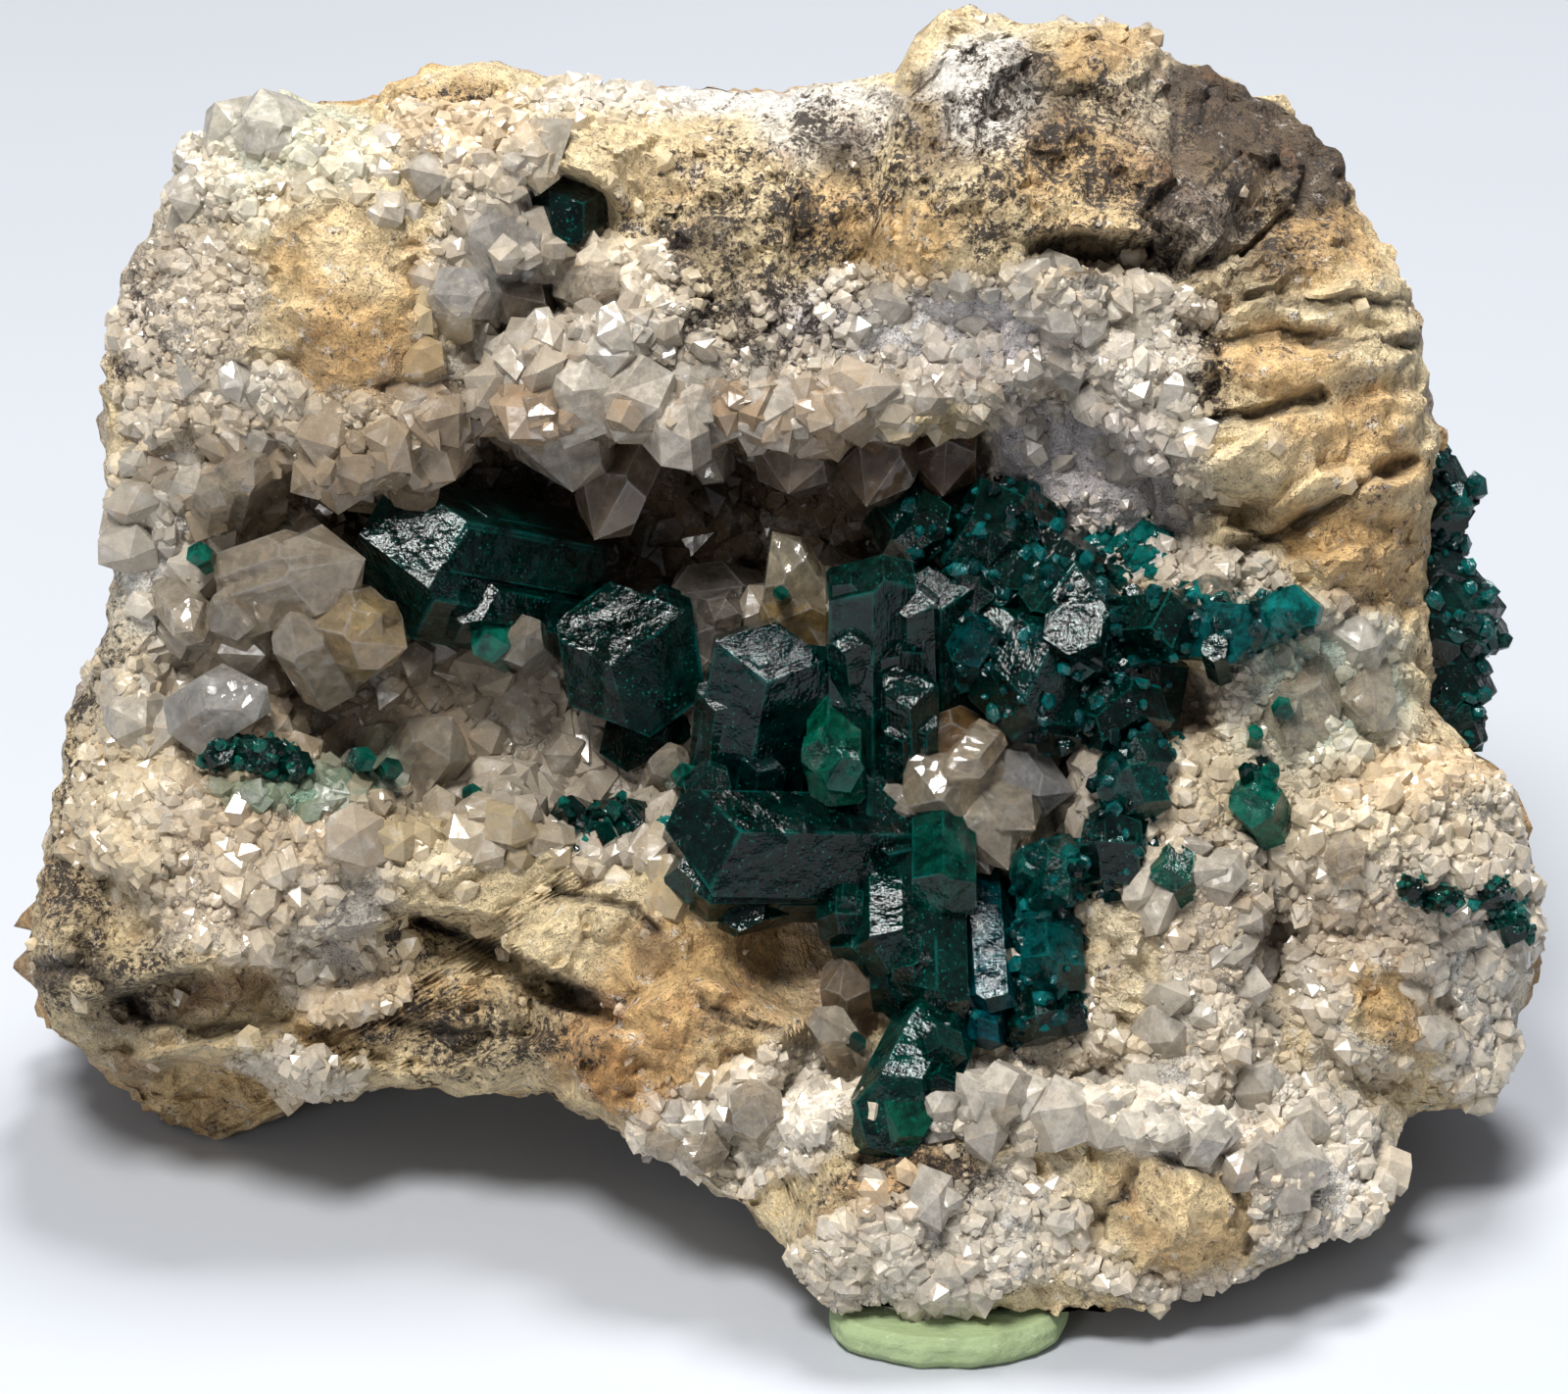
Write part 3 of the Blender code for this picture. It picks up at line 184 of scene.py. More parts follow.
# Quartz points that stand out of the druse: root pixel and depth, tip pixel
# and depth, width in millimetres, roll in degrees
QUARTZ = {
    "ledge_fang": (575, 395, -3.5, 568, 505, -0.5, 4.6, 10),
    "ledge_tooth": (660, 430, -6.5, 605, 545, -2.5, 3.6, 35),
    "ledge_stub": (830, 420, -6.0, 800, 510, -1.0, 3.9, 5),
    "ledge_block": (915, 425, -6.0, 885, 512, -1.5, 3.4, 20),
    "ledge_end": (965, 425, -6.5, 962, 500, -3.0, 2.9, 0),
    "window_top": (550, 265, -2.5, 484, 240, 2.2, 3.4, 15),
    "window_low": (520, 305, -2.5, 448, 300, 3.6, 2.6, 40),
    "left_prism": (262, 598, -2.0, 364, 564, 1.4, 3.9, 25),
    "left_point": (312, 626, -2.2, 413, 650, 1.0, 3.5, 20),
    "left_block": (206, 732, -2.4, 270, 690, 0.6, 3.2, 30),
    "low_block": (424, 784, -5.4, 464, 730, -3.2, 3.2, 15),
    "back_points": (760, 620, -9.0, 690, 600, -5.5, 3.0, 10),
    "pale_point": (836, 636, -6.0, 782, 546, -3.8, 3.1, 20),
    "pale_base": (840, 620, -7.5, 790, 640, -3.5, 3.2, 50),
    "island": (1020, 842, -4.0, 936, 752, -0.2, 4.6, 12),
    "island_side": (996, 786, -3.6, 1104, 804, -1.0, 3.4, 30),
    "island_toe": (970, 786, -3.2, 1022, 888, 0.0, 3.3, 0),
    "seam_point": (880, 1010, -4.0, 860, 985, 0.5, 2.4, 20),
    # Smaller points
    "upper_small": (545, 328, -3.5, 520, 300, 1.0, 2.4, 20),
    "upper_block": (618, 305, -3.0, 590, 272, 1.8, 3.3, 10),
    "upper_low": (578, 380, -2.0, 532, 350, 2.6, 3.8, 30),
    "left_small": (252, 645, -4.0, 230, 618, 0.6, 2.2, 15),
    "left_yellow": (338, 670, -4.5, 400, 628, 1.4, 3.1, 5),
    "left_lower": (334, 694, -2.8, 292, 626, 0.8, 2.9, 25),
    "left_upper": (238, 525, -4.0, 252, 466, 1.4, 2.4, 10),
    "left_upper_small": (214, 532, -3.5, 222, 488, 1.2, 2.0, 35),
    "left_edge": (180, 610, -3.5, 205, 640, 0.4, 2.0, 0),
    "clear_chip": (548, 668, -7.0, 528, 650, -1.2, 2.3, 12),
    "grey_clear": (730, 665, -8.5, 690, 640, -4.0, 3.6, 20),
    "grey_small": (742, 612, -8.5, 722, 640, -4.6, 2.4, 45),
    "dark_shard": (675, 800, -6.5, 690, 768, -3.4, 1.9, 0),
    "neck": (876, 1072, -2.5, 862, 978, 1.8, 2.5, 15),
    "neck_low": (862, 1082, -0.5, 846, 1036, 4.4, 2.1, 40),
    "ball": (776, 1148, 1.2, 768, 1120, 5.6, 2.5, 10),
    "right_round": (1385, 888, -2.5, 1370, 864, 1.6, 1.9, 0),
    "flank_point": (1235, 640, -3.0, 1228, 580, 0.2, 2.4, 18),
    "flank_low": (1330, 700, -4.0, 1318, 760, -0.2, 3.2, 28),
    "flank_edge": (1392, 690, -5.0, 1402, 742, -1.6, 2.6, 8),
    "toe_a": (690, 1150, -0.5, 672, 1168, 2.6, 2.0, 0),
    "toe_b": (720, 1162, 0.0, 716, 1186, 3.0, 2.1, 33),
    "lip_a": (722, 425, -6.5, 708, 470, -2.6, 2.4, 5),
    "lip_b": (700, 430, -7.0, 742, 486, -3.4, 2.2, 25),
    "lip_c": (470, 400, -5.5, 462, 440, -2.4, 2.1, 12),
    "lip_d": (500, 372, -3.5, 486, 400, 0.6, 1.9, 44),
    "island_top": (1010, 776, -3.4, 926, 730, -0.8, 2.8, 6),
    "island_oval": (1006, 756, -1.2, 972, 800, 1.0, 1.9, 14),
    "island_fan": (984, 800, -3.0, 1062, 846, 0.2, 2.6, 40),
    "island_back": (980, 800, -3.6, 890, 800, -0.6, 3.0, 22),
    "island_edge": (1055, 770, -5.0, 1070, 752, -1.0, 2.6, 30),
    "island_low": (1040, 845, -4.0, 1048, 862, -0.4, 2.7, 15),
    "lobe_clear": (1030, 1140, 3.5, 1010, 1128, 7.4, 2.2, 20),
}

# Dioptase prisms of each separate group, in the same words. A last value, where
# it is given, is how steeply the planes at the prism's end slope.
DIOPTASE = {
    "dioptase_left": {
        "great": (552, 590, -8.0, 366, 556, -0.6, 6.5, 15, 0.99),
        "rounded": (650, 690, -11.5, 634, 676, -2.6, 6.6, 70, 0.6),
        "foot": (665, 745, -9.0, 640, 745, -5.0, 3.4, 0),
        # Smaller prisms among them
        "rounded_side": (670, 650, -10.5, 676, 636, -4.2, 3.2, 10),
    },
    "dioptase_main": {
        "hub": (905, 745, -5.5, 905, 925, -1.5, 5.6, 14),
        "leaning": (748, 856, -4.6, 790, 636, -0.8, 5.0, 12),
        "tower": (892, 800, -3.6, 893, 563, 0.8, 4.2, 2),
        "tower_side": (960, 780, -4.5, 955, 580, -0.8, 3.8, 20),
        "tower_back": (1010, 720, -6.0, 1015, 570, -1.6, 3.6, 5),
        "between": (845, 800, -4.5, 832, 655, -1.6, 3.2, 20),
        "hanging": (852, 720, -2.5, 850, 818, 0.9, 2.6, 10),
        "lying": (895, 868, -2.4, 680, 864, 2.0, 5.0, 8),
        "lying_low": (880, 906, -2.4, 700, 908, 2.2, 2.8, 22),
        "down_great": (945, 835, -2.6, 950, 1052, 2.2, 4.4, 4),
        "down_left": (890, 880, -2.6, 884, 1000, 1.2, 3.0, 15),
        "down_bright": (962, 835, -1.6, 962, 925, 2.6, 2.8, 0),
        "down_blue": (1000, 900, -3.0, 1010, 1040, 2.0, 2.8, 25),
        "upper_dark": (1000, 550, -7.0, 893, 505, -4.2, 3.8, 10),
        "upper_mass": (1050, 570, -5.5, 985, 530, -1.4, 4.6, 30),
        "upper_mass_low": (1040, 620, -5.5, 1092, 556, -1.0, 4.4, 12),
        "bridge": (1100, 690, -4.5, 975, 655, -0.4, 4.4, 8),
        "ridge_great": (1165, 712, -4.0, 1010, 688, 1.4, 4.8, 12),
        "ridge_top": (1050, 640, -4.5, 1130, 610, 0.6, 3.8, 5),
        "ridge_mid": (1100, 645, -3.5, 1218, 632, 1.8, 3.2, 20),
        "ridge_right": (1180, 640, -2.0, 1288, 648, 1.6, 2.7, 0),
        "ridge_end": (1262, 648, -1.5, 1340, 612, 1.2, 2.1, 10),
        "chain_top": (1090, 710, -4.0, 1168, 738, 1.6, 3.6, 5),
        "chain_mid": (1125, 745, -3.5, 1162, 822, 2.4, 3.4, 20),
        "chain_low": (1150, 790, -2.5, 1128, 896, 2.4, 3.0, 8),
        "corner": (1130, 875, -2.5, 1054, 898, 2.0, 3.2, 14),
        "corner_low": (1062, 890, -2.5, 1072, 1010, 2.2, 3.0, 2),
        "corner_toe": (1050, 960, -2.0, 1060, 1062, 2.2, 2.6, 16),
        "lower": (962, 1030, 0.5, 896, 1160, 7.2, 3.6, 14),
        "lower_side": (975, 1060, 0.5, 950, 1125, 6.4, 2.2, 0),
        # Smaller prisms among them
        "tower_front": (880, 760, -2.8, 866, 640, 1.2, 2.2, 10),
        "tower_right": (935, 740, -3.0, 930, 600, 0.9, 2.4, 3),
        "tower_low": (930, 800, -3.0, 926, 680, 1.4, 2.9, 18),
        "lobe_a": (846, 790, -1.5, 838, 760, 1.6, 2.1, 0),
        "lobe_b": (860, 800, -1.5, 856, 782, 2.2, 1.9, 30),
        "lean_left": (728, 830, -4.0, 742, 690, -1.2, 2.4, 6),
        "lean_foot": (730, 850, -3.0, 722, 790, 0.2, 2.2, 22),
        "lying_end": (760, 900, -1.0, 700, 884, 2.6, 3.0, 5),
        "lying_foot": (800, 920, -1.5, 745, 932, 1.8, 2.2, 14),
        "lying_step": (770, 840, -1.6, 700, 834, 1.6, 2.0, 32),
        "block_a": (862, 905, -1.5, 858, 960, 1.8, 2.4, 12),
        "block_b": (905, 900, -1.0, 906, 985, 2.8, 2.6, 28),
        "block_c": (945, 930, -1.0, 938, 1010, 3.0, 2.4, 4),
        "block_d": (975, 960, -1.5, 980, 1040, 2.4, 2.0, 18),
        "mass_a": (960, 560, -5.0, 935, 528, -1.8, 3.0, 12),
        "mass_b": (1020, 600, -4.5, 1030, 560, -0.8, 3.2, 32),
        "mass_c": (1065, 640, -4.0, 1075, 590, 0.2, 2.8, 20),
        "mass_d": (985, 640, -4.0, 980, 590, -0.2, 3.0, 4),
        "mass_e": (1000, 690, -3.5, 990, 640, 0.6, 2.8, 26),
        "ridge_a": (1120, 680, -2.5, 1095, 660, 1.8, 2.6, 8),
        "ridge_b": (1070, 720, -3.0, 1080, 752, 0.8, 2.6, 14),
        "chain_a": (1140, 760, -2.0, 1176, 772, 2.4, 2.2, 22),
        "chain_b": (1130, 830, -1.5, 1138, 858, 2.8, 2.4, 2),
        "lower_a": (930, 1110, 2.5, 920, 1150, 7.0, 2.4, 28),
        "lower_b": (950, 1070, 1.0, 965, 1066, 6.0, 2.0, 5),
        "toe_a": (1020, 1020, -0.5, 1000, 1060, 2.6, 1.8, 9),
        "toe_b": (1080, 1000, -0.5, 1092, 1050, 2.2, 1.8, 17),
        "dot": (880, 1068, 0.5, 873, 1062, 3.9, 0.9, 0),
        "silver": (1104, 672, -1.1, 1095, 641, 2.6, 2.5, 0, 0.06),
        "silver_low": (1246, 684, -0.6, 1240, 660, 2.2, 1.2, 0, 0.06),
    },
    "dioptase_pocket": {
        "pocket": (612, 198, -4.5, 560, 230, 0.2, 3.0, 10),
    },
    "dioptase_right": {
        "crest": (1440, 500, -13.5, 1486, 500, -10.0, 3.4, 10),
        "crest_low": (1440, 560, -14.0, 1468, 552, -10.0, 2.8, 0),
        "body": (1430, 625, -14.5, 1514, 620, -9.6, 4.4, 20),
        "body_low": (1430, 690, -14.0, 1502, 692, -9.2, 3.8, 5),
        "spike": (1470, 690, -12.0, 1516, 688, -11.0, 1.7, 0),
        "tail": (1455, 730, -12.0, 1504, 752, -9.4, 2.6, 12),
        # Smaller prisms among them
        "crest_top": (1444, 486, -12.6, 1462, 474, -9.6, 2.4, 20),
        "crest_mid": (1450, 530, -13.2, 1478, 520, -9.8, 2.6, 5),
        "body_top": (1450, 590, -13.2, 1486, 588, -9.4, 2.6, 14),
        "body_side": (1470, 640, -12.6, 1508, 650, -9.6, 2.4, 32),
        "body_foot": (1450, 715, -12.6, 1490, 722, -9.2, 2.6, 24),
        "body_mid": (1442, 655, -12.4, 1462, 660, -8.4, 3.0, 10),
    },
    "dioptase_chip_centre": {"chip": (1206, 902, 0.0, 1194, 878, 2.3, 2.2, 12)},
    "dioptase_chip_upper": {
        "chip": (1292, 838, -1.5, 1276, 808, 1.0, 2.3, 4),
        "branch_a": (1290, 812, -0.8, 1298, 784, 1.4, 0.8, 0),
        "branch_b": (1276, 808, -0.8, 1270, 782, 1.2, 0.7, 20),
    },
    "dioptase_chip_right": {
        "long": (1442, 912, -3.0, 1490, 920, -0.2, 1.3, 0),
        "head": (1450, 912, -3.0, 1436, 905, 0.0, 1.2, 20),
    },
    "dioptase_chip_edge": {
        "upper": (1538, 935, -4.5, 1522, 900, -2.4, 1.6, 0),
        "lower": (1530, 920, -4.6, 1552, 960, -2.8, 1.5, 15),
    },
    "dioptase_vein_left": {
        "left": (245, 775, -2.2, 215, 768, 0.4, 1.4, 0),
        "mid": (240, 770, -2.2, 278, 768, 0.7, 1.7, 20),
        "right": (270, 772, -2.4, 312, 782, 0.4, 1.4, 5),
    },
    "dioptase_vein_centre": {
        "left": (605, 845, -7.0, 572, 832, -3.6, 1.9, 0),
        "low": (590, 850, -6.5, 612, 862, -1.2, 1.9, 20),
        "right": (600, 848, -6.0, 662, 832, -1.4, 2.0, 10),
    },
}

# The putty pad's plan as seen from above: x, y in millimetres, anticlockwise
PUTTY_PLAN = [
    (2.9, -22.6), (4.6, -23.5), (7.8, -24.1), (10.6, -23.6), (13.0, -21.4),
    (13.4, -18.6), (11.4, -16.6), (7.6, -15.9), (4.2, -16.6), (2.5, -19.0),
]
PUTTY_HEIGHT = 1.6
PUTTY_RINGS = ((0.96, 0.0), (1.03, 0.25), (1.02, 0.7), (0.95, 1.0))
PUTTY_COLUMNS = 96
PUTTY_SIDE_ROWS = 14
PUTTY_FLAT_ROWS = 8

# The hollow's druse reaches this far: pixel points
DRUSE_EDGE = [
    (128, 470), (190, 428), (262, 452), (330, 440), (392, 455), (428, 392),
    (432, 300), (470, 226), (532, 205), (590, 268), (655, 300), (700, 352),
    (790, 392), (880, 372), (985, 402), (1000, 480), (1090, 545), (1128, 640),
    (1172, 742), (1120, 850), (1076, 962), (1012, 1040), (930, 1010), (880, 940),
    (770, 905), (672, 900), (600, 868), (548, 902), (470, 852), (398, 880),
    (330, 842), (262, 838), (190, 800), (152, 700), (176, 612), (126, 548),
]

# Stray grains of dioptase on the quartz: root pixel and depth, tip, width, roll
STRAY_DIOPTASE = {
    "left_chip": (212, 574, -1.5, 202, 564, 1.2, 1.0, 0),
    "green_chip": (512, 664, -6.0, 498, 652, -1.6, 1.9, 10),
    "flank_chip": (1314, 728, -1.8, 1308, 722, 0.8, 1.0, 25),
    "branch": (1276, 770, -1.6, 1282, 744, 0.8, 0.7, 5),
    "pale_dot": (800, 612, -4.6, 796, 604, -2.2, 0.7, 0),
    "vein_end": (392, 790, -3.2, 402, 782, -0.6, 1.0, 15),
    "vein_pale": (366, 780, -3.0, 372, 774, -0.6, 1.2, 30),
    "vein_low": (488, 818, -5.2, 480, 808, -2.2, 0.9, 0),
    "vein_drop": (536, 856, -5.4, 530, 846, -1.6, 1.0, 40),
    "step_chip": (690, 800, -4.0, 700, 790, -0.6, 1.2, 12),
}

# Where small dioptase crystals crowd on the stone: pixel x, pixel y, half width,
# half height, turn in degrees. The areas below are in the same words.
GRAIN_AREAS = [
    (1105, 590, 95, 40, 32), (1220, 628, 80, 26, -4), (1310, 630, 34, 16, 0),
    (1048, 1010, 52, 62, 0), (1140, 850, 38, 56, 0), (1170, 760, 26, 50, 0),
    (1010, 515, 50, 16, 20), (585, 842, 34, 24, 10), (655, 826, 40, 18, -10),
    (268, 776, 52, 13, 12), (385, 784, 30, 9, 20), (1284, 806, 18, 34, 10),
    (1448, 912, 26, 9, 20), (1484, 918, 16, 8, 0), (1532, 928, 20, 34, -10),
    (506, 812, 34, 7, 25), (1300, 840, 20, 12, 0),
]
# Quartz, and not bare limestone
QUARTZ_AREAS = [
    (270, 165, 120, 70, -10), (190, 320, 70, 95, -15), (250, 420, 130, 60, 0),
    (190, 560, 90, 130, 0), (240, 700, 140, 150, 0), (230, 860, 170, 110, -12),
    (350, 960, 75, 70, -30), (520, 260, 90, 90, -20), (600, 350, 130, 80, 15),
    (800, 370, 170, 60, -5), (970, 350, 210, 60, -8), (1120, 470, 130, 120, -30),
    (1330, 690, 100, 90, -15), (600, 600, 400, 260, 8), (960, 740, 240, 260, 0),
    (1210, 800, 110, 110, 0), (1200, 980, 110, 170, 10), (1080, 1110, 230, 60, 0),
    (960, 1270, 180, 80, 20), (1330, 1200, 90, 110, 10), (1230, 1310, 180, 32, -12),
    (1420, 930, 160, 170, 0), (1500, 1060, 60, 80, 10), (700, 1150, 90, 50, 35),
    (780, 1130, 90, 70, 30), (300, 1095, 70, 18, -8), (1130, 330, 110, 50, -10),
    (480, 150, 90, 50, -15), (600, 105, 70, 22, 0), (1250, 600, 70, 40, 0),
]
# Limestone with a calm surface and few lumps
CALM_AREAS = [
    (1330, 420, 125, 140, 0), (740, 1000, 130, 80, 15), (1200, 1240, 80, 60, -8),
    (110, 780, 60, 190, 6), (510, 935, 100, 46, 12), (360, 300, 60, 90, 8),
]
# Bare limestone within the quartz
LIMESTONE_AREAS = [
    (355, 305, 75, 118, 8), (700, 970, 120, 60, 12), (700, 1050, 120, 50, 20),
    (1195, 1240, 85, 62, -8), (905, 1195, 60, 32, 0), (1110, 1190, 48, 40, 0),
    (1430, 1035, 60, 42, -25), (510, 928, 108, 52, 12), (1150, 980, 46, 90, 8),
]

# Where large lumps of quartz stand
LUMP_AREAS = [
    (590, 365, 100, 55, 12), (690, 395, 70, 40, 8), (820, 420, 120, 30, -4),
    (235, 430, 90, 40, 0), (160, 480, 50, 50, 0), (160, 690, 40, 60, 0),
    (170, 180, 60, 50, 0), (300, 140, 80, 30, 0), (430, 180, 60, 60, 0), (500, 200, 60, 40, 0),
    (700, 1160, 90, 40, 35), (900, 1250, 70, 60, 30), (980, 1120, 60, 40, 0),
    (1080, 1120, 70, 30, 0), (1220, 1140, 80, 25, 0), (1290, 1150, 70, 60, 0),
    (1310, 640, 60, 40, -15), (1500, 1000, 60, 70, 0), (1210, 950, 60, 120, 10),
    (1000, 330, 160, 40, -6), (1130, 420, 80, 60, -20),
]
# Quartz that is smooth and sheet-like
SMOOTH_AREAS = [
    (1100, 510, 120, 90, -25), (1350, 700, 80, 80, -10), (940, 335, 160, 36, -6),
    (120, 600, 40, 90, 0), (365, 955, 60, 50, -20),
]

# Stone that the large dioptase prisms hide
PRISM_AREAS = [
    (480, 580, 105, 62, -18), (635, 672, 62, 70, 0), (768, 730, 48, 92, -20),
    (760, 868, 85, 55, 0), (890, 650, 46, 90, 0), (905, 900, 75, 90, 0), (930, 1090, 34, 55, -25),
]

# Colours as the eye sees them, red, green and blue from 0 to 255
CREAM = (234, 212, 168)
TAN = (208, 168, 110)
HONEY = (226, 186, 128)
ORANGE = (190, 138, 78)
RUST = (140, 92, 52)
WHITE = (240, 237, 230)
LILAC = (205, 199, 203)
GREY = (150, 144, 138)
BROWN = (104, 82, 60)
CHARCOAL = (58, 50, 44)
WARM_QUARTZ = (200, 180, 152)
FROST = (238, 230, 216)
BEIGE_QUARTZ = (176, 146, 114)
PALE_QUARTZ = (216, 206, 190)
GREEN_QUARTZ = (204, 214, 196)
GREEN_STAIN = (120, 170, 145)
TURQUOISE = (60, 160, 145)
SUGAR = (214, 200, 176)
# Painted shade for the deep hollow
HOLLOW_SHADE_BROWN = (92, 70, 50)
IVORY = (232, 216, 184)
CLEAR_QUARTZ = (240, 228, 208)
QUARTZ_VEIL = (250, 246, 238)
QUARTZ_STAIN = (160, 124, 84)
DIOPTASE_DARK = (2, 38, 32)
DIOPTASE_BRIGHT = (12, 122, 116)
DIOPTASE_STRAY = (8, 98, 80)
PUTTY_LIGHT = (140, 156, 106)
PUTTY_FIBRE = (206, 214, 184)
FLOOR_CLOUD = (186, 190, 197)

# Quartz points that are stained or milky
QUARTZ_TINTS = {
    "island": (236, 218, 190), "island_top": (200, 160, 108), "island_oval": (250, 236, 212),
    "island_side": (222, 222, 222),
    "left_yellow": (240, 216, 164), "left_prism": (236, 222, 200), "left_point": (236, 212, 170),
    "left_block": (240, 238, 234), "pale_point": (240, 228, 200), "pale_base": (206, 178, 122),
    "window_top": (238, 236, 232), "window_low": (244, 243, 240), "ledge_tooth": (190, 168, 146),
    "ledge_stub": (196, 176, 156), "ledge_block": (176, 152, 130), "ledge_end": (150, 124, 102),
    "back_points": (176, 164, 150), "grey_clear": (168, 160, 152), "neck": (196, 176, 150),
    "grey_small": (176, 166, 156), "upper_low": (230, 218, 202), "upper_small": (196, 178, 156),
}
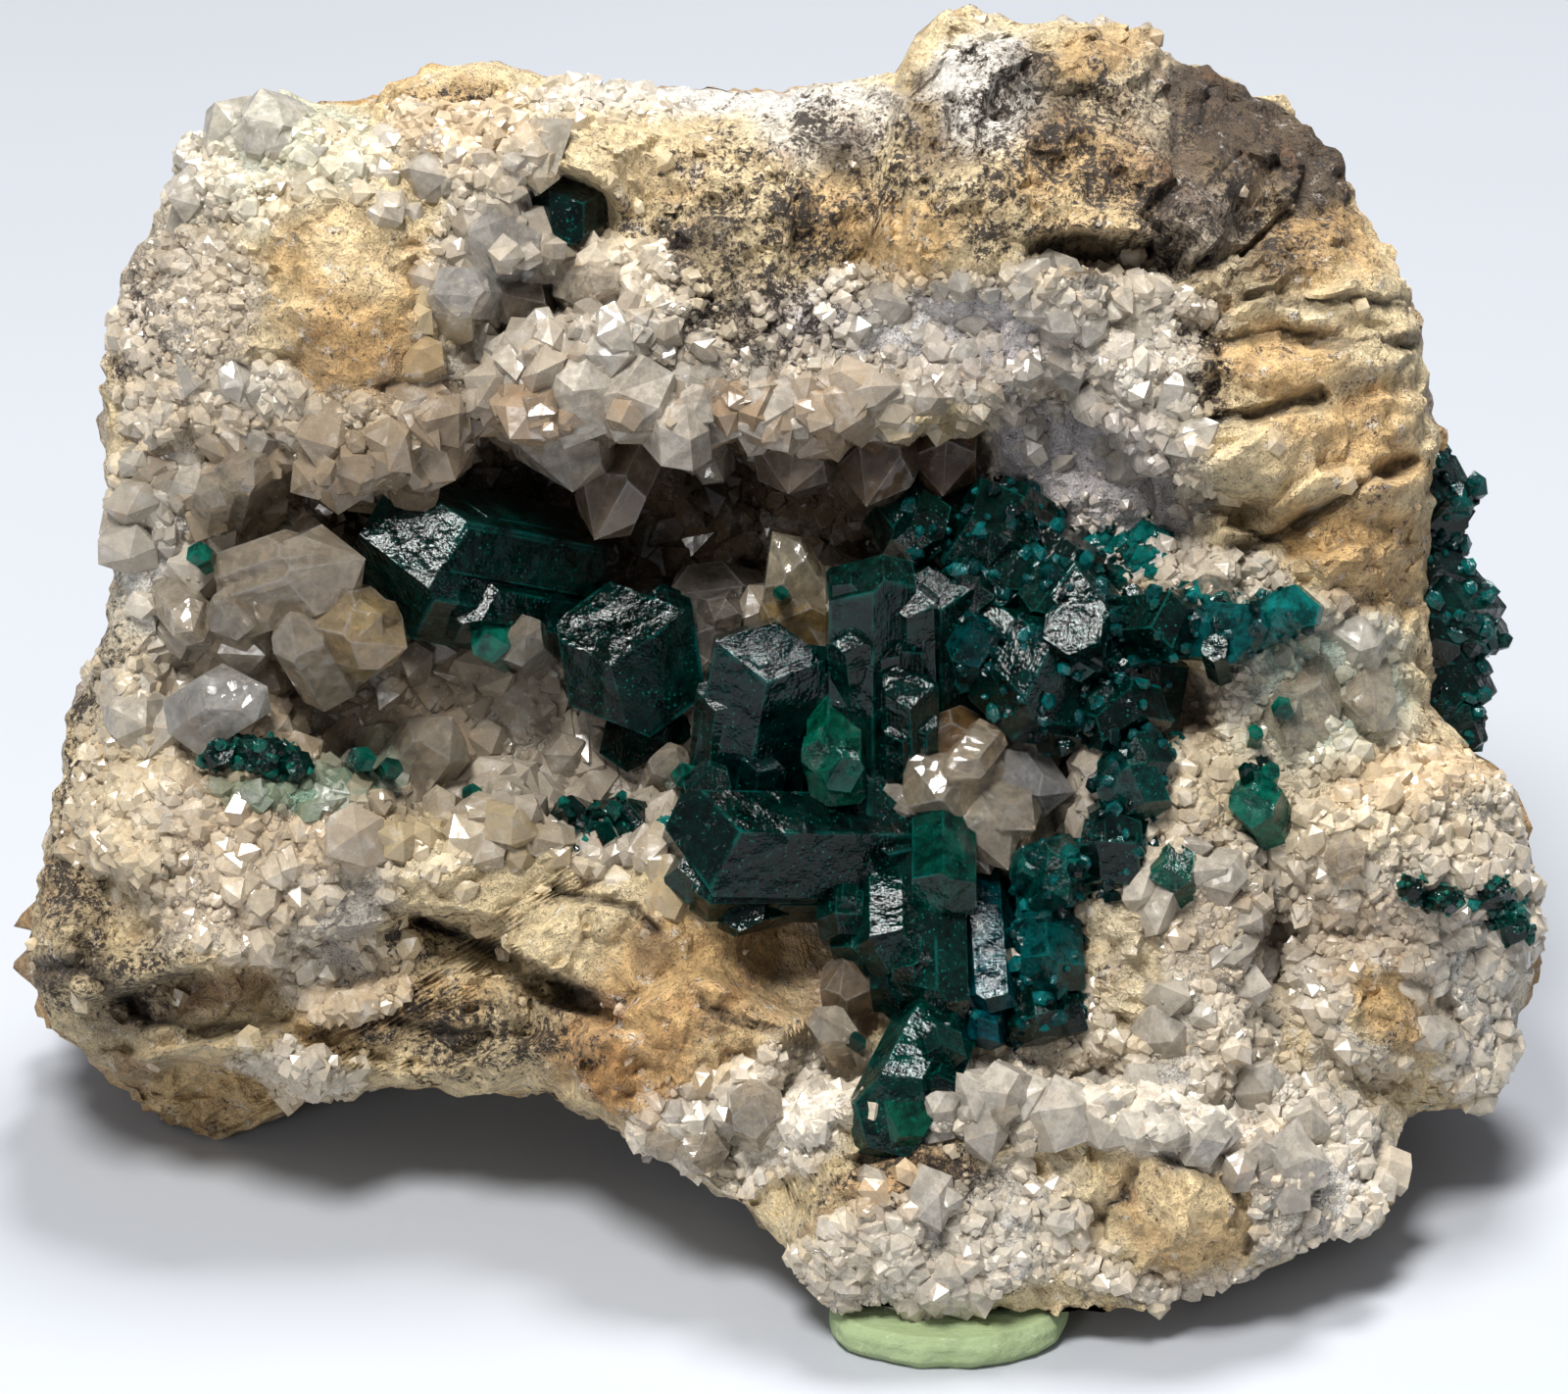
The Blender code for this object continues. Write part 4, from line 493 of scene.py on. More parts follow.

# Patches of colour on the face, laid on in turn: pixel x, pixel y, half width,
# half height, turn, colour, strength. A few are painted light and shade, as marked.
PATCHES = [
    (270, 160, 130, 75, -10, GREEN_QUARTZ, 0.8), (200, 200, 60, 60, 0, PALE_QUARTZ, 0.7),
    (190, 330, 90, 90, -15, WARM_QUARTZ, 0.6), (150, 300, 60, 80, -15, GREY, 0.5),
    (355, 300, 80, 120, 8, TAN, 0.8), (370, 250, 50, 50, 0, CREAM, 0.6),
    (340, 360, 60, 45, 0, ORANGE, 0.35), (470, 120, 90, 50, -12, TAN, 0.6),
    # The white band at (700, 105) is a painted highlight along the top edge, which turns up to
    # the light.
    (560, 110, 60, 25, 0, CREAM, 0.6), (700, 105, 170, 18, 0, WHITE, 0.9),
    (680, 165, 60, 40, 0, ORANGE, 0.5), (640, 160, 60, 50, 0, CREAM, 0.7),
    (730, 150, 90, 40, 0, CREAM, 0.6), (850, 130, 80, 40, 0, WHITE, 0.6),
    (720, 285, 45, 62, -5, CHARCOAL, 0.75), (765, 345, 45, 25, 10, CHARCOAL, 0.8),
    (760, 290, 60, 50, 0, CREAM, 0.55), (860, 155, 30, 38, 0, CHARCOAL, 0.7),
    (880, 310, 36, 20, 0, CHARCOAL, 0.75), (845, 230, 40, 50, 0, TAN, 0.7),
    (930, 240, 80, 60, 10, TAN, 0.7), (960, 140, 50, 60, 10, BROWN, 0.65),
    (1010, 100, 55, 60, 20, WHITE, 0.85), (1075, 95, 45, 50, 0, CHARCOAL, 0.6),
    (1120, 60, 60, 30, 15, TAN, 0.7), (1165, 130, 50, 80, 10, GREY, 0.5),
    (1110, 190, 90, 70, 0, TAN, 0.65), (1110, 225, 60, 30, 0, CREAM, 0.5),
    (1000, 290, 70, 22, 10, CHARCOAL, 0.55), (1120, 265, 90, 20, -5, BROWN, 0.6),
    (1285, 150, 110, 100, 30, BROWN, 0.85), (1250, 120, 60, 60, 20, CHARCOAL, 0.7),
    (1340, 190, 45, 60, 10, CHARCOAL, 0.7), (1230, 230, 60, 50, 0, GREY, 0.6),
    (1350, 260, 80, 45, 10, TAN, 0.7), (1290, 290, 50, 40, 0, CHARCOAL, 0.5),
    (1370, 340, 80, 50, -5, CREAM, 0.8), (1300, 370, 90, 40, -8, HONEY, 0.85),
    (1230, 330, 34, 46, 0, BROWN, 0.4), (1240, 430, 80, 14, 0, CHARCOAL, 0.4),
    (1205, 470, 30, 80, 0, GREY, 0.4), (1350, 455, 100, 45, -14, HONEY, 0.8),
    (1400, 430, 50, 40, -14, HONEY, 0.85),
    (1290, 470, 90, 40, -10, CREAM, 0.5), (1380, 570, 75, 60, -25, HONEY, 0.7),
    (1360, 550, 50, 40, -25, TAN, 0.7), (1180, 370, 50, 50, 0, WHITE, 0.55),
    (1035, 385, 42, 32, 0, CHARCOAL, 0.55), (1060, 430, 90, 50, -10, GREY, 0.6),
    (1110, 500, 110, 80, -25, LILAC, 0.75), (960, 340, 190, 40, -6, LILAC, 0.7),
    (900, 330, 70, 30, 0, WHITE, 0.5), (620, 360, 110, 60, 12, PALE_QUARTZ, 0.6),
    (735, 425, 50, 22, -10, ORANGE, 0.35), (560, 500, 330, 110, 5, BEIGE_QUARTZ, 0.8),
    # The brown at (640, 560) and (320, 470) is the recesses' browner stone and crystals, darkened
    # further as painted shade.
    (640, 560, 200, 90, 0, BROWN, 0.35),
    (320, 470, 130, 70, -10, BROWN, 0.45), (300, 480, 160, 80, 0, WARM_QUARTZ, 0.7),
    (160, 620, 60, 120, 0, WHITE, 0.6), (260, 700, 90, 60, 0, HONEY, 0.25),
    (360, 720, 150, 80, 0, WARM_QUARTZ, 0.7), (215, 900, 150, 80, -15, WARM_QUARTZ, 0.65),
    (260, 830, 110, 60, -10, TAN, 0.4), (300, 804, 66, 22, 0, GREEN_STAIN, 0.8),
    (385, 785, 44, 22, 0, TURQUOISE, 0.5), (110, 780, 60, 190, 6, CREAM, 0.7),
    (75, 900, 50, 90, 10, BROWN, 0.35), (95, 690, 25, 60, 5, GREY, 0.4),
    (60, 990, 60, 20, 15, CHARCOAL, 0.75), (170, 1015, 90, 26, 14, CHARCOAL, 0.6),
    (225, 1010, 60, 25, 10, RUST, 0.45), (370, 950, 55, 45, -20, GREY, 0.55),
    (400, 1030, 130, 40, 6, TAN, 0.6), (480, 1070, 110, 35, 0, CREAM, 0.5),
    (200, 1120, 80, 40, 0, TAN, 0.6), (130, 1080, 60, 40, 25, BROWN, 0.4),
    (505, 932, 120, 54, 12, CREAM, 1.0), (590, 980, 60, 50, 0, CREAM, 0.7),
    (475, 900, 40, 14, 10, BROWN, 0.2), (730, 980, 110, 60, 15, TAN, 0.85),
    (700, 1060, 130, 50, 20, TAN, 0.6), (590, 1070, 50, 60, 10, ORANGE, 0.7),
    (650, 1100, 60, 40, 30, ORANGE, 0.5), (585, 1020, 40, 16, 0, CHARCOAL, 0.6),
    (665, 970, 20, 26, 20, BROWN, 0.6), (800, 1000, 60, 50, 20, RUST, 0.3),
    (870, 1010, 50, 60, 0, BEIGE_QUARTZ, 0.6), (780, 1150, 110, 50, 35, WHITE, 0.6),
    (930, 1200, 60, 25, 10, ORANGE, 0.6), (980, 1200, 40, 26, 0, CHARCOAL, 0.5),
    (1110, 1190, 50, 40, 0, CREAM, 0.8), (1200, 1240, 80, 60, -8, HONEY, 0.7),
    (1200, 1215, 60, 34, 0, CREAM, 0.6), (1210, 1160, 60, 25, 0, WHITE, 0.7),
    (1260, 1120, 120, 40, 0, WHITE, 0.6), (990, 1270, 120, 50, 20, WHITE, 0.5),
    (1150, 970, 50, 90, 8, IVORY, 0.7), (1230, 920, 60, 120, 8, WARM_QUARTZ, 0.7),
    (1200, 720, 50, 40, 0, ORANGE, 0.35), (1230, 790, 60, 50, 0, CREAM, 0.55),
    (1345, 700, 85, 80, -15, GREEN_QUARTZ, 0.85), (1300, 650, 60, 30, 0, TURQUOISE, 0.3),
    (1400, 830, 120, 60, 0, CREAM, 0.5), (1450, 790, 80, 30, 10, TAN, 0.6),
    (1400, 960, 60, 60, 0, ORANGE, 0.25), (1350, 940, 50, 70, 0, BROWN, 0.3),
    (1435, 1030, 60, 40, -25, TAN, 0.8), (1500, 1010, 60, 90, 0, WHITE, 0.5),
    (1370, 1180, 60, 70, 0, WHITE, 0.5), (1300, 1180, 50, 50, 0, ORANGE, 0.2),
    (1290, 640, 40, 30, 0, GREEN_STAIN, 0.4), (720, 830, 60, 40, 0, PALE_QUARTZ, 0.3),
]

# The unseen sides' patches: seed, colour, size in mm and strength
BACK_PATCHES = [
    (55, CREAM, 9, 0.85), (56, GREY, 7, 0.4), (58, BROWN, 5, 0.4), (59, WHITE, 6, 0.35),
]

# Where black and brown specks lie thick: pixel x, pixel y, half width, half height
SPECK_AREAS = [
    (760, 260, 130, 120), (880, 160, 90, 70), (1060, 150, 150, 120), (1290, 170, 120, 130),
    (1215, 380, 40, 110), (90, 800, 60, 200), (120, 1000, 110, 50), (140, 350, 40, 80),
    (440, 960, 50, 30), (480, 1050, 150, 60), (470, 120, 60, 40),
    (600, 100, 90, 20), (1190, 240, 60, 60), (940, 1200, 80, 40),
]

# Cracks and dark seams: half width in mm, depth in mm, then pixel points
CRACKS = [
    (0.28, 1.1, [(1180, 415), (1215, 428), (1262, 425), (1300, 415), (1350, 402)]),
    (0.35, 1.6, [(1262, 562), (1305, 545), (1350, 520), (1395, 490), (1440, 468)]),
    (0.22, 0.9, [(1190, 310), (1225, 330), (1240, 370), (1235, 410)]),
    (0.22, 0.8, [(1275, 300), (1330, 312), (1385, 305), (1430, 312)]),
    (0.25, 0.8, [(1240, 350), (1300, 340), (1360, 352), (1440, 348)]),
    (0.32, 1.3, [(430, 938), (470, 955), (520, 985), (560, 1004), (602, 1012)]),
    (0.20, 0.7, [(560, 905), (600, 915), (645, 925), (670, 950)]),
    (0.26, 1.1, [(1160, 1200), (1150, 1226), (1130, 1239), (1123, 1262), (1123, 1294)]),
    (0.20, 0.7, [(1192, 1182), (1247, 1200), (1274, 1239), (1270, 1276)]),
    (0.30, 1.0, [(882, 1180), (930, 1165), (985, 1160), (1024, 1155)]),
    (0.30, 1.1, [(1050, 262), (1110, 272), (1160, 258), (1192, 245)]),
    (0.30, 0.9, [(22, 990), (85, 985), (160, 1040), (275, 1055)]),
    (0.20, 0.6, [(1195, 60), (1200, 120), (1195, 190), (1185, 240)]),
    (0.22, 0.6, [(325, 1055), (380, 1035), (440, 1045), (520, 1060)]),
    (0.22, 0.7, [(1320, 890), (1345, 930), (1350, 975), (1335, 1010)]),
    (0.18, 0.5, [(700, 1000), (740, 1040), (800, 1050)]),
]

# Dioptase prisms that are lighter, greener or bluer than the rest
DIOPTASE_TINTS = {
    "hanging": (4, 92, 68), "lobe_a": (4, 84, 64), "lobe_b": (3, 74, 60),
    "down_bright": (3, 66, 54), "down_blue": (3, 56, 62), "corner": (4, 84, 76),
    "corner_low": (4, 70, 70), "toe_a": (8, 94, 108), "block_d": (4, 62, 70),
    "lower": (3, 52, 44), "lower_a": (5, 88, 66), "chip": (8, 108, 88),
    "chain_mid": (4, 66, 60), "mass_e": (3, 50, 52), "branch_a": (10, 118, 98),
    "ridge_end": (8, 112, 108), "ridge_right": (6, 88, 88), "leaning": (2, 36, 34),
}
# The small crystals that grow over a group's prisms: the prisms by the start of
# their names, how many, the least and greatest radius in mm and their colour
DIOPTASE_CRUST = {
    "dioptase_main": (("ridge", "chain", "corner", "upper_mass", "mass", "toe"), 1700,
                      0.14, 0.5, (6, 88, 88)),
    "dioptase_right": (("crest", "body", "tail"), 900, 0.14, 0.55, (6, 80, 78)),
    "dioptase_vein_centre": (("left", "low", "right"), 160, 0.12, 0.4, (14, 96, 84)),
    "dioptase_vein_left": (("left", "mid", "right"), 140, 0.12, 0.35, (18, 106, 90)),
    "dioptase_chip_right": (("long", "head"), 60, 0.12, 0.3, (18, 106, 90)),
    "dioptase_chip_edge": (("upper", "lower"), 90, 0.12, 0.4, (10, 84, 74)),
}

# Small crystals: how many, and their least and greatest radius in mm where a
# user doesn't set it
HOLLOW_COUNT = 4300
HOLLOW_LEAST = 0.35
LUMP_COUNT = 380
LUMP_RADIUS = (0.6, 1.5)
SUGAR_LEAST = 0.16
GRAIN_COUNT = 1500
GRAIN_RADIUS = (0.12, 0.5)
GRAIN_GLOW = 0.35
# Sugary quartz in bands from left to right: name, from and to in mm from the
# face's middle, how many grains, seed
SUGAR_BANDS = [
    ("sugar_left", -60.0, -14.0, 7300, 141),
    ("sugar_middle", -14.0, 12.0, 5000, 151),
    ("sugar_right", 12.0, 60.0, 7800, 161),
]

# How many planes end a crystal, how steeply they slope, how many smaller
# crystals stand beside it for each millimetre of its width, and how much its
# brightness differs from its neighbours'
QUARTZ_HABIT = (6, 1.1, 0.4, 0.06)
DIOPTASE_HABIT = (3, 0.7, 0.7, 0.5)
STRAY_HABIT = (3, 0.7, 0.0, 0.3)
# A crystal's rows, as shares of its side and of the way in to its apex, half
# the width of its bright edges in radians, and how far its foot reaches back
# for each millimetre of half its width
SIDE_ROWS = (0.0, 0.4, 0.8, 0.975, 1.0)
CAP_ROWS = (0.05, 0.5, 0.94)
EDGE_WIDTH = 0.06
FOOT_REACH = 0.35

# Each kind of quartz: the share of light that it lets through, and how chipped
# its faces look
DRUSE_FINISH = (0.3, 0.3)
SUGAR_FINISH = (0.1, 0.4)
LUMP_FINISH = (0.4, 0.7)
POINT_FINISH = (0.82, 0.8)
QUARTZ_IOR = 1.54
# Lower than the mineral's own, so that its faces mirror the floor darkly
DIOPTASE_IOR = 1.42
DIOPTASE_SPECULAR = 0.35
DIOPTASE_CLEAR = 0.6
DIOPTASE_ABSORPTION = (0.02, 0.66, 0.56, 1)
DIOPTASE_DENSITY = 1500.0

# The stage, in metres and watts: lights by name, place, aim, size, power, colour
FLOOR_HALF = 3.0
FRAME_PIXELS = 1600.0
SENSOR_WIDTH = 36.0
SKY_COLOUR = (0.82, 0.88, 1.0, 1.0)
SKY_STRENGTH = 0.24
LIGHTS = [
    ("key", (-0.10, -0.22, 0.48), (0.0, 0.0, 0.02), 0.16, 3.2, (1.0, 0.985, 0.96)),
    ("overhead", (0.06, 0.14, 0.52), (0.0, 0.0, 0.02), 0.18, 2.9, (1.0, 0.99, 0.98)),
    ("front_fill", (-0.30, -0.60, 0.22), (0.0, 0.0, 0.02), 0.16, 0.7, (1.0, 0.99, 0.97)),
]


def face_point(pixel_x, pixel_y):
    """Pixels of the face plane as millimetres from its centre."""
    a = (np.asarray(pixel_x, float) - FACE_CENTRE_PIXEL[0]) * PIXEL
    b = (FACE_CENTRE_PIXEL[1] - np.asarray(pixel_y, float)) * PIXEL
    return a, b


def to_world(a, b, w):
    """Face-plane points at depth w, in the model's frame, in millimetres.

    A point nearer the viewer is drawn in towards the line of sight, so it
    keeps its place in the viewer's picture.
    """
    near = (VIEWER_DISTANCE - w) / VIEWER_DISTANCE
    u, v = a * near, b * near
    x = u + FACE_CENTRE_SIDE
    y = v * sin(VIEWER_ELEVATION) - w * cos(VIEWER_ELEVATION) + FACE_CENTRE_BACK
    z = v * cos(VIEWER_ELEVATION) + w * sin(VIEWER_ELEVATION) + FACE_CENTRE_HEIGHT
    return np.stack([x, y, z], -1)


def smooth(t):
    """Smoothstep of t, held to 0..1."""
    t = np.clip(t, 0, 1)
    return t * t * (3 - 2 * t)


def lattice_value(ix, iy, iz, seed):
    """A repeatable value from 0 to 1 at each whole-numbered lattice point."""
    h = ix * 374761393 + iy * 668265263 + iz * 2147483647 + seed * 974634777
    h = (h ^ (h >> 13)) * 1274126177 & 0x7FFFFFFF
    return ((h ^ (h >> 16)) & 0xFFFF) / 65535.0


def value_noise(points, size, seed):
    """Smooth noise from -1 to 1 that changes over about size millimetres."""
    p = points / size
    base = np.floor(p).astype(np.int64)
    t = smooth(p - base)
    total = np.zeros(len(p))
    for corner in range(8):
        step = np.array([corner & 1, corner >> 1 & 1, corner >> 2 & 1])
        weight = np.prod(np.where(step, t, 1 - t), axis=1)
        ix, iy, iz = (base + step).T
        total += weight * lattice_value(ix, iy, iz, seed)
    return total * 2 - 1


def rough(points, size, octaves, seed):
    """Noise summed over octaves, each half as large and half as strong."""
    total = np.zeros(len(points))
    for octave in range(octaves):
        scale = 0.5**octave
        total += scale * value_noise(points, size * scale, seed + octave)
    return total


def ellipse_distance(a, b, form):
    """Distance from an ellipse's centre, 1 on its rim, and the offsets."""
    x, y, half_width, half_height, turn = form
    ca, cb = face_point(x, y)
    da, db = a - ca, b - cb
    c, s = cos(radians(turn)), sin(radians(turn))
    along, across = da * c + db * s, -da * s + db * c
    return np.hypot(along / (half_width * PIXEL), across / (half_height * PIXEL)), da, db


def face_depth(a, b):
    """Depth w of the rock's face: its forms laid on in order."""
    flat = np.stack([a, b, np.zeros_like(a)], -1)
    wander = 0.16 * value_noise(flat, 4.0, 11) + 0.08 * value_noise(flat, 1.8, 12)
    w = 0.7 * value_noise(flat, 9.0, 5) - 0.3
    for kind, x, y, hw, hh, turn, level, slope_a, slope_b, soft in FACE_FORMS.values():
        r, da, db = ellipse_distance(a, b, (x, y, hw, hh, turn))
        r = r + wander
        if kind == "plate":
            mask = smooth((1 + soft * 0.5 - r) / soft)
            w = w + mask * (level + slope_a * da + slope_b * db - w)
        elif kind == "dome":
            top = level - 0.5 * min(hw, hh) * PIXEL * r * r
            w = np.where(r < 1.6, np.maximum(w, top), w)
        else:
            mask = smooth((1 + soft * 0.5 - r) / soft)
            w = w + mask * (np.minimum(level, w) - w)
    return w


def back_depth(a, b):
    """Depth w of the rock's back, which stands nearly upright."""
    flat = np.stack([a, b, np.full_like(a, 40.0)], -1)
    return BACK_DEPTH + BACK_LEAN * b + 2.2 * value_noise(flat, 17.0, 31)


def disc_grid(cells):
    """A square grid bent to a disc in rings: radius 0..1 and angle."""
    line = np.linspace(-1, 1, cells + 1)
    x, y = np.meshgrid(line, line, indexing="ij")
    wide = np.abs(x) > np.abs(y)
    r = np.where(wide, x, y)
    over = np.where(wide, x, np.where(y == 0, 1, y))
    turn = np.where(wide, y, x) / over * pi / 4
    angle = np.where(wide, turn, pi / 2 - turn)
    px, py = r * np.cos(angle), r * np.sin(angle)
    return np.hypot(px, py), np.arctan2(py, px)


def shoulder(s, power, ratio):
    """A superellipse's run and rise at even steps along its arc."""
    t = np.linspace(0, pi / 2, 600)
    run, rise = np.sin(t) ** (2 / power), np.cos(t)
    arc = np.hypot(np.diff(run), ratio * np.diff(rise))
    arc = np.concatenate([[0], np.cumsum(arc)])
    return np.interp(s, arc / arc[-1], run), np.interp(s, arc / arc[-1], rise)


def outline_at(angle):
    """The outline's radius and depth w in each direction from its centre."""
    x, y, w = np.array(OUTLINE, float).T
    ca, cb = face_point(*OUTLINE_CENTRE)
    a, b = face_point(x, y)
    turn = np.arctan2(b - cb, a - ca)
    order = np.argsort(turn)
    turn, radius, w = turn[order], np.hypot(a - ca, b - cb)[order], w[order]
    turn = np.concatenate([turn - 2 * pi, turn, turn + 2 * pi])
    return np.interp(angle, turn, np.tile(radius, 3)), np.interp(angle, turn, np.tile(w, 3))


def sheet(radius, angle, power, ratio, depth):
    """One side of the rock over the disc grid: face coordinates a, b, w."""
    run, rise = shoulder(radius, power, ratio)
    reach, rim = outline_at(angle)
    ca, cb = face_point(*OUTLINE_CENTRE)
    a = ca + run * reach * np.cos(angle)
    b = cb + run * reach * np.sin(angle)
    return a, b, rim + (depth(a.ravel(), b.ravel()).reshape(a.shape) - rim) * rise


def underside_height(x, y):
    """How high the stone's underside stands: 0 at its feet, level at the pad."""
    flat = np.stack([x, y, np.zeros_like(x)], -1)
    ax, ay, half_x, half_y = ARCH
    arch = smooth(1.4 - np.hypot((x - ax) / half_x, (y - ay) / half_y))
    height = UNDERSIDE_CLEARANCE + ARCH_HEIGHT * arch + 0.5 * rough(flat, 7.0, 2, 41)
    px, py, half_x, half_y = PAD_SEAT
    seat = smooth(4 - 3 * np.hypot((x - px) / half_x, (y - py) / half_y))
    height = height + seat * (PAD_SEAT_HEIGHT - height)
    for fx, fy, radius in STONE_FEET.values():
        foot = smooth(2 - np.hypot(x - fx, y - fy) / radius)
        height = height * (1 - foot)
    return height


def linear(colour, alpha=1.0):
    """An eye colour from 0 to 255 as linear red, green, blue and alpha."""
    c = np.array(colour, float) / 255
    c = np.where(c <= 0.04045, c / 12.92, ((c + 0.055) / 1.055) ** 2.4)
    return np.append(c, alpha)


def flat_noise(a, b, size, octaves, seed):
    """Noise over the face plane alone."""
    return rough(np.stack([a, b, np.zeros_like(a)], -1), size, octaves, seed)


def area_mask(a, b, areas, soft, seed):
    """How far face points lie inside any ellipse, 0 to 1, with ragged rims."""
    wander = 0.2 * flat_noise(a, b, 3.0, 3, seed)
    mask = np.zeros_like(a)
    for x, y, half_width, half_height, *turn in areas:
        form = (x, y, half_width, half_height, turn[0] if turn else 0)
        r = ellipse_distance(a, b, form)[0] + wander
        mask = np.maximum(mask, smooth((1 + soft / 2 - r) / soft))
    return mask


def inside_edge(a, b, edge):
    """Whether face points lie within a polygon, by counting crossings."""
    ea, eb = face_point(*np.array(edge, float).T)
    inside = np.zeros(a.shape, bool)
    for k in range(len(ea)):
        a0, b0, a1, b1 = ea[k - 1], eb[k - 1], ea[k], eb[k]
        crosses = (b0 > b) != (b1 > b)
        inside ^= crosses & (a < a0 + (b - b0) * (a1 - a0) / (b1 - b0))
    return inside


def quartz_mask(a, b):
    """1 on quartz and 0 on bare limestone."""
    quartz = area_mask(a, b, QUARTZ_AREAS, 0.3, 61)
    return quartz * (1 - area_mask(a, b, LIMESTONE_AREAS, 0.25, 62))


def cobbles(a, b, size, seed):
    """Tilted facets, one round each scattered point: heights 0 to about 1.

    Each cell of a square grid holds one point. A place belongs to the nearest
    point; its height falls off with the square of that distance, plus a
    slope that differs from point to point.
    """
    x, y = a / size, b / size
    ix, iy = np.floor(x).astype(np.int64), np.floor(y).astype(np.int64)
    best = np.full(a.shape, 9.0)
    height = np.zeros(a.shape)
    for di in (-1, 0, 1):
        for dj in (-1, 0, 1):
            cx, cy = ix + di, iy + dj
            dx = x - cx - lattice_value(cx, cy, 0, seed)
            dy = y - cy - lattice_value(cx, cy, 1, seed)
            far = dx * dx + dy * dy
            tilt_x = lattice_value(cx, cy, 2, seed) - 0.5
            tilt_y = lattice_value(cx, cy, 3, seed) - 0.5
            lift = 0.5 * lattice_value(cx, cy, 4, seed)
            here = lift + 0.5 - far + 1.1 * (tilt_x * dx + tilt_y * dy)
            height = np.where(far < best, here, height)
            best = np.minimum(best, far)
    return height


def crack_lines(a, b):
    """Depth of the cracks, and how dark they are, at face points."""
    sway = 0.22 * flat_noise(a, b, 1.6, 2, 91)
    depth, dark = np.zeros_like(a), np.zeros_like(a)
    for width, deep, points in CRACKS:
        pa, pb = face_point(*np.array(points, float).T)
        far = np.full_like(a, 99.0)
        for k in range(len(pa) - 1):
            ra, rb = pa[k + 1] - pa[k], pb[k + 1] - pb[k]
            t = np.clip(((a - pa[k]) * ra + (b - pb[k]) * rb) / (ra * ra + rb * rb), 0, 1)
            far = np.minimum(far, np.hypot(a - pa[k] - t * ra, b - pb[k] - t * rb))
        far = np.abs(far + sway)
        depth = np.maximum(depth, deep * np.exp(-((far / width) ** 2)))
        dark = np.maximum(dark, np.exp(-((far / (width * 0.9)) ** 2)))
    return depth, dark


def layer_steps(a, b):
    """Ledges of the layered block at the right: a sawtooth across the bedding."""
    ca, cb = face_point(*LEDGE_CENTRE)
    near = smooth(1.6 - np.hypot((a - ca) / LEDGE_REACH[0], (b - cb) / LEDGE_REACH[1]) * 1.1)
    across = (b - cb) * cos(LEDGE_TILT) - (a - ca) * sin(LEDGE_TILT)
    across = across + 1.3 * flat_noise(a, b, 5.0, 2, 95) + 0.25 * flat_noise(a, b, 1.4, 2, 96)
    phase = across / LEDGE_STEP - np.floor(across / LEDGE_STEP)
    rise, drop = phase / LEDGE_SLOPE, (phase - LEDGE_SLOPE) / 0.18
    return near * (smooth(rise) - smooth(drop) - 0.4)


def fine_relief(a, b, relief, crack_scale):
    """Small lumps, facets, ledges and cracks on the face, in millimetres."""
    quartz = quartz_mask(a, b)
    ridged = 0.5 - np.abs(flat_noise(a, b, 3.4, 4, 81))
    grain = flat_noise(a, b, 0.9, 2, 82)
    pits = smooth((flat_noise(a, b, 1.3, 2, 83) - 0.45) * 3)
    chips = cobbles(a, b, 2.3, 86) + 0.5 * cobbles(a, b, 1.1, 87)
    stone = 1.1 * ridged + 0.25 * grain - 0.6 * pits + 0.7 * chips - 0.55
    stone = stone * (1 - 0.6 * area_mask(a, b, CALM_AREAS, 0.5, 73)) + 1.1 * layer_steps(a, b)
    facets = 0.6 * cobbles(a, b, 1.7, 84) + 0.35 * cobbles(a, b, 0.8, 85) - 0.35
    depth, dark = crack_lines(a, b)
    height = relief * (quartz * facets + (1 - quartz) * stone)
    return height - crack_scale * depth, dark


def face_tint(a, b):
    """The face's colour at each point: patches over cream, with ragged rims, and painted shade
    that deepens down into the hollow.
    """
    wander = 0.3 * flat_noise(a, b, 2.6, 4, 71)
    tint = np.tile(linear(CREAM), (len(a), 1))
    quartz = quartz_mask(a, b)[:, None]
    tint = tint + quartz * (linear(PALE_QUARTZ) - tint)
    for x, y, half_width, half_height, turn, colour, strength in PATCHES:
        r = ellipse_distance(a, b, (x, y, half_width, half_height, turn))[0]
        mask = strength * smooth((1.3 - r - wander) / 0.7)[:, None]
        tint = tint + mask * (linear(colour) - tint)
    # Painted shade: within the druse's edge the colour turns to a shadowed brown the deeper the
    # face lies, where the ledge's shadow falls.
    deep = 0.85 * smooth((-face_depth(a, b) - 5.5) / 7)[:, None]
    inside = inside_edge(a, b, DRUSE_EDGE)[:, None]
    return tint + inside * deep * (linear(HOLLOW_SHADE_BROWN) - tint)


def grid_faces(number, flip=False):
    """Two triangles for each grid cell, parted towards the grid's middle."""
    p, q, r, s = number[:-1, :-1], number[1:, :-1], number[1:, 1:], number[:-1, 1:]
    half = 2 * np.arange(p.shape[0]) < p.shape[0]
    same = (half[:, None] == half[None, :])[..., None]
    first = np.where(same, np.stack([p, q, r], -1), np.stack([p, q, s], -1))
    second = np.where(same, np.stack([p, r, s], -1), np.stack([q, r, s], -1))
    faces = np.concatenate([first.reshape(-1, 3), second.reshape(-1, 3)])
    return faces[:, ::-1] if flip else faces


def clip_underside(points):
    """Draws points under the stone's underside back along rays to its heart."""
    heart = to_world(*face_point(*OUTLINE_CENTRE), HEART_DEPTH)
    for _ in range(3):
        height = underside_height(points[:, 0], points[:, 1])
        low = points[:, 2] < height
        share = (height - heart[2]) / np.minimum(points[:, 2] - heart[2], -1e-6)
        moved = heart + (points - heart) * share[:, None]
        points = np.where(low[:, None], moved, points)
    return points


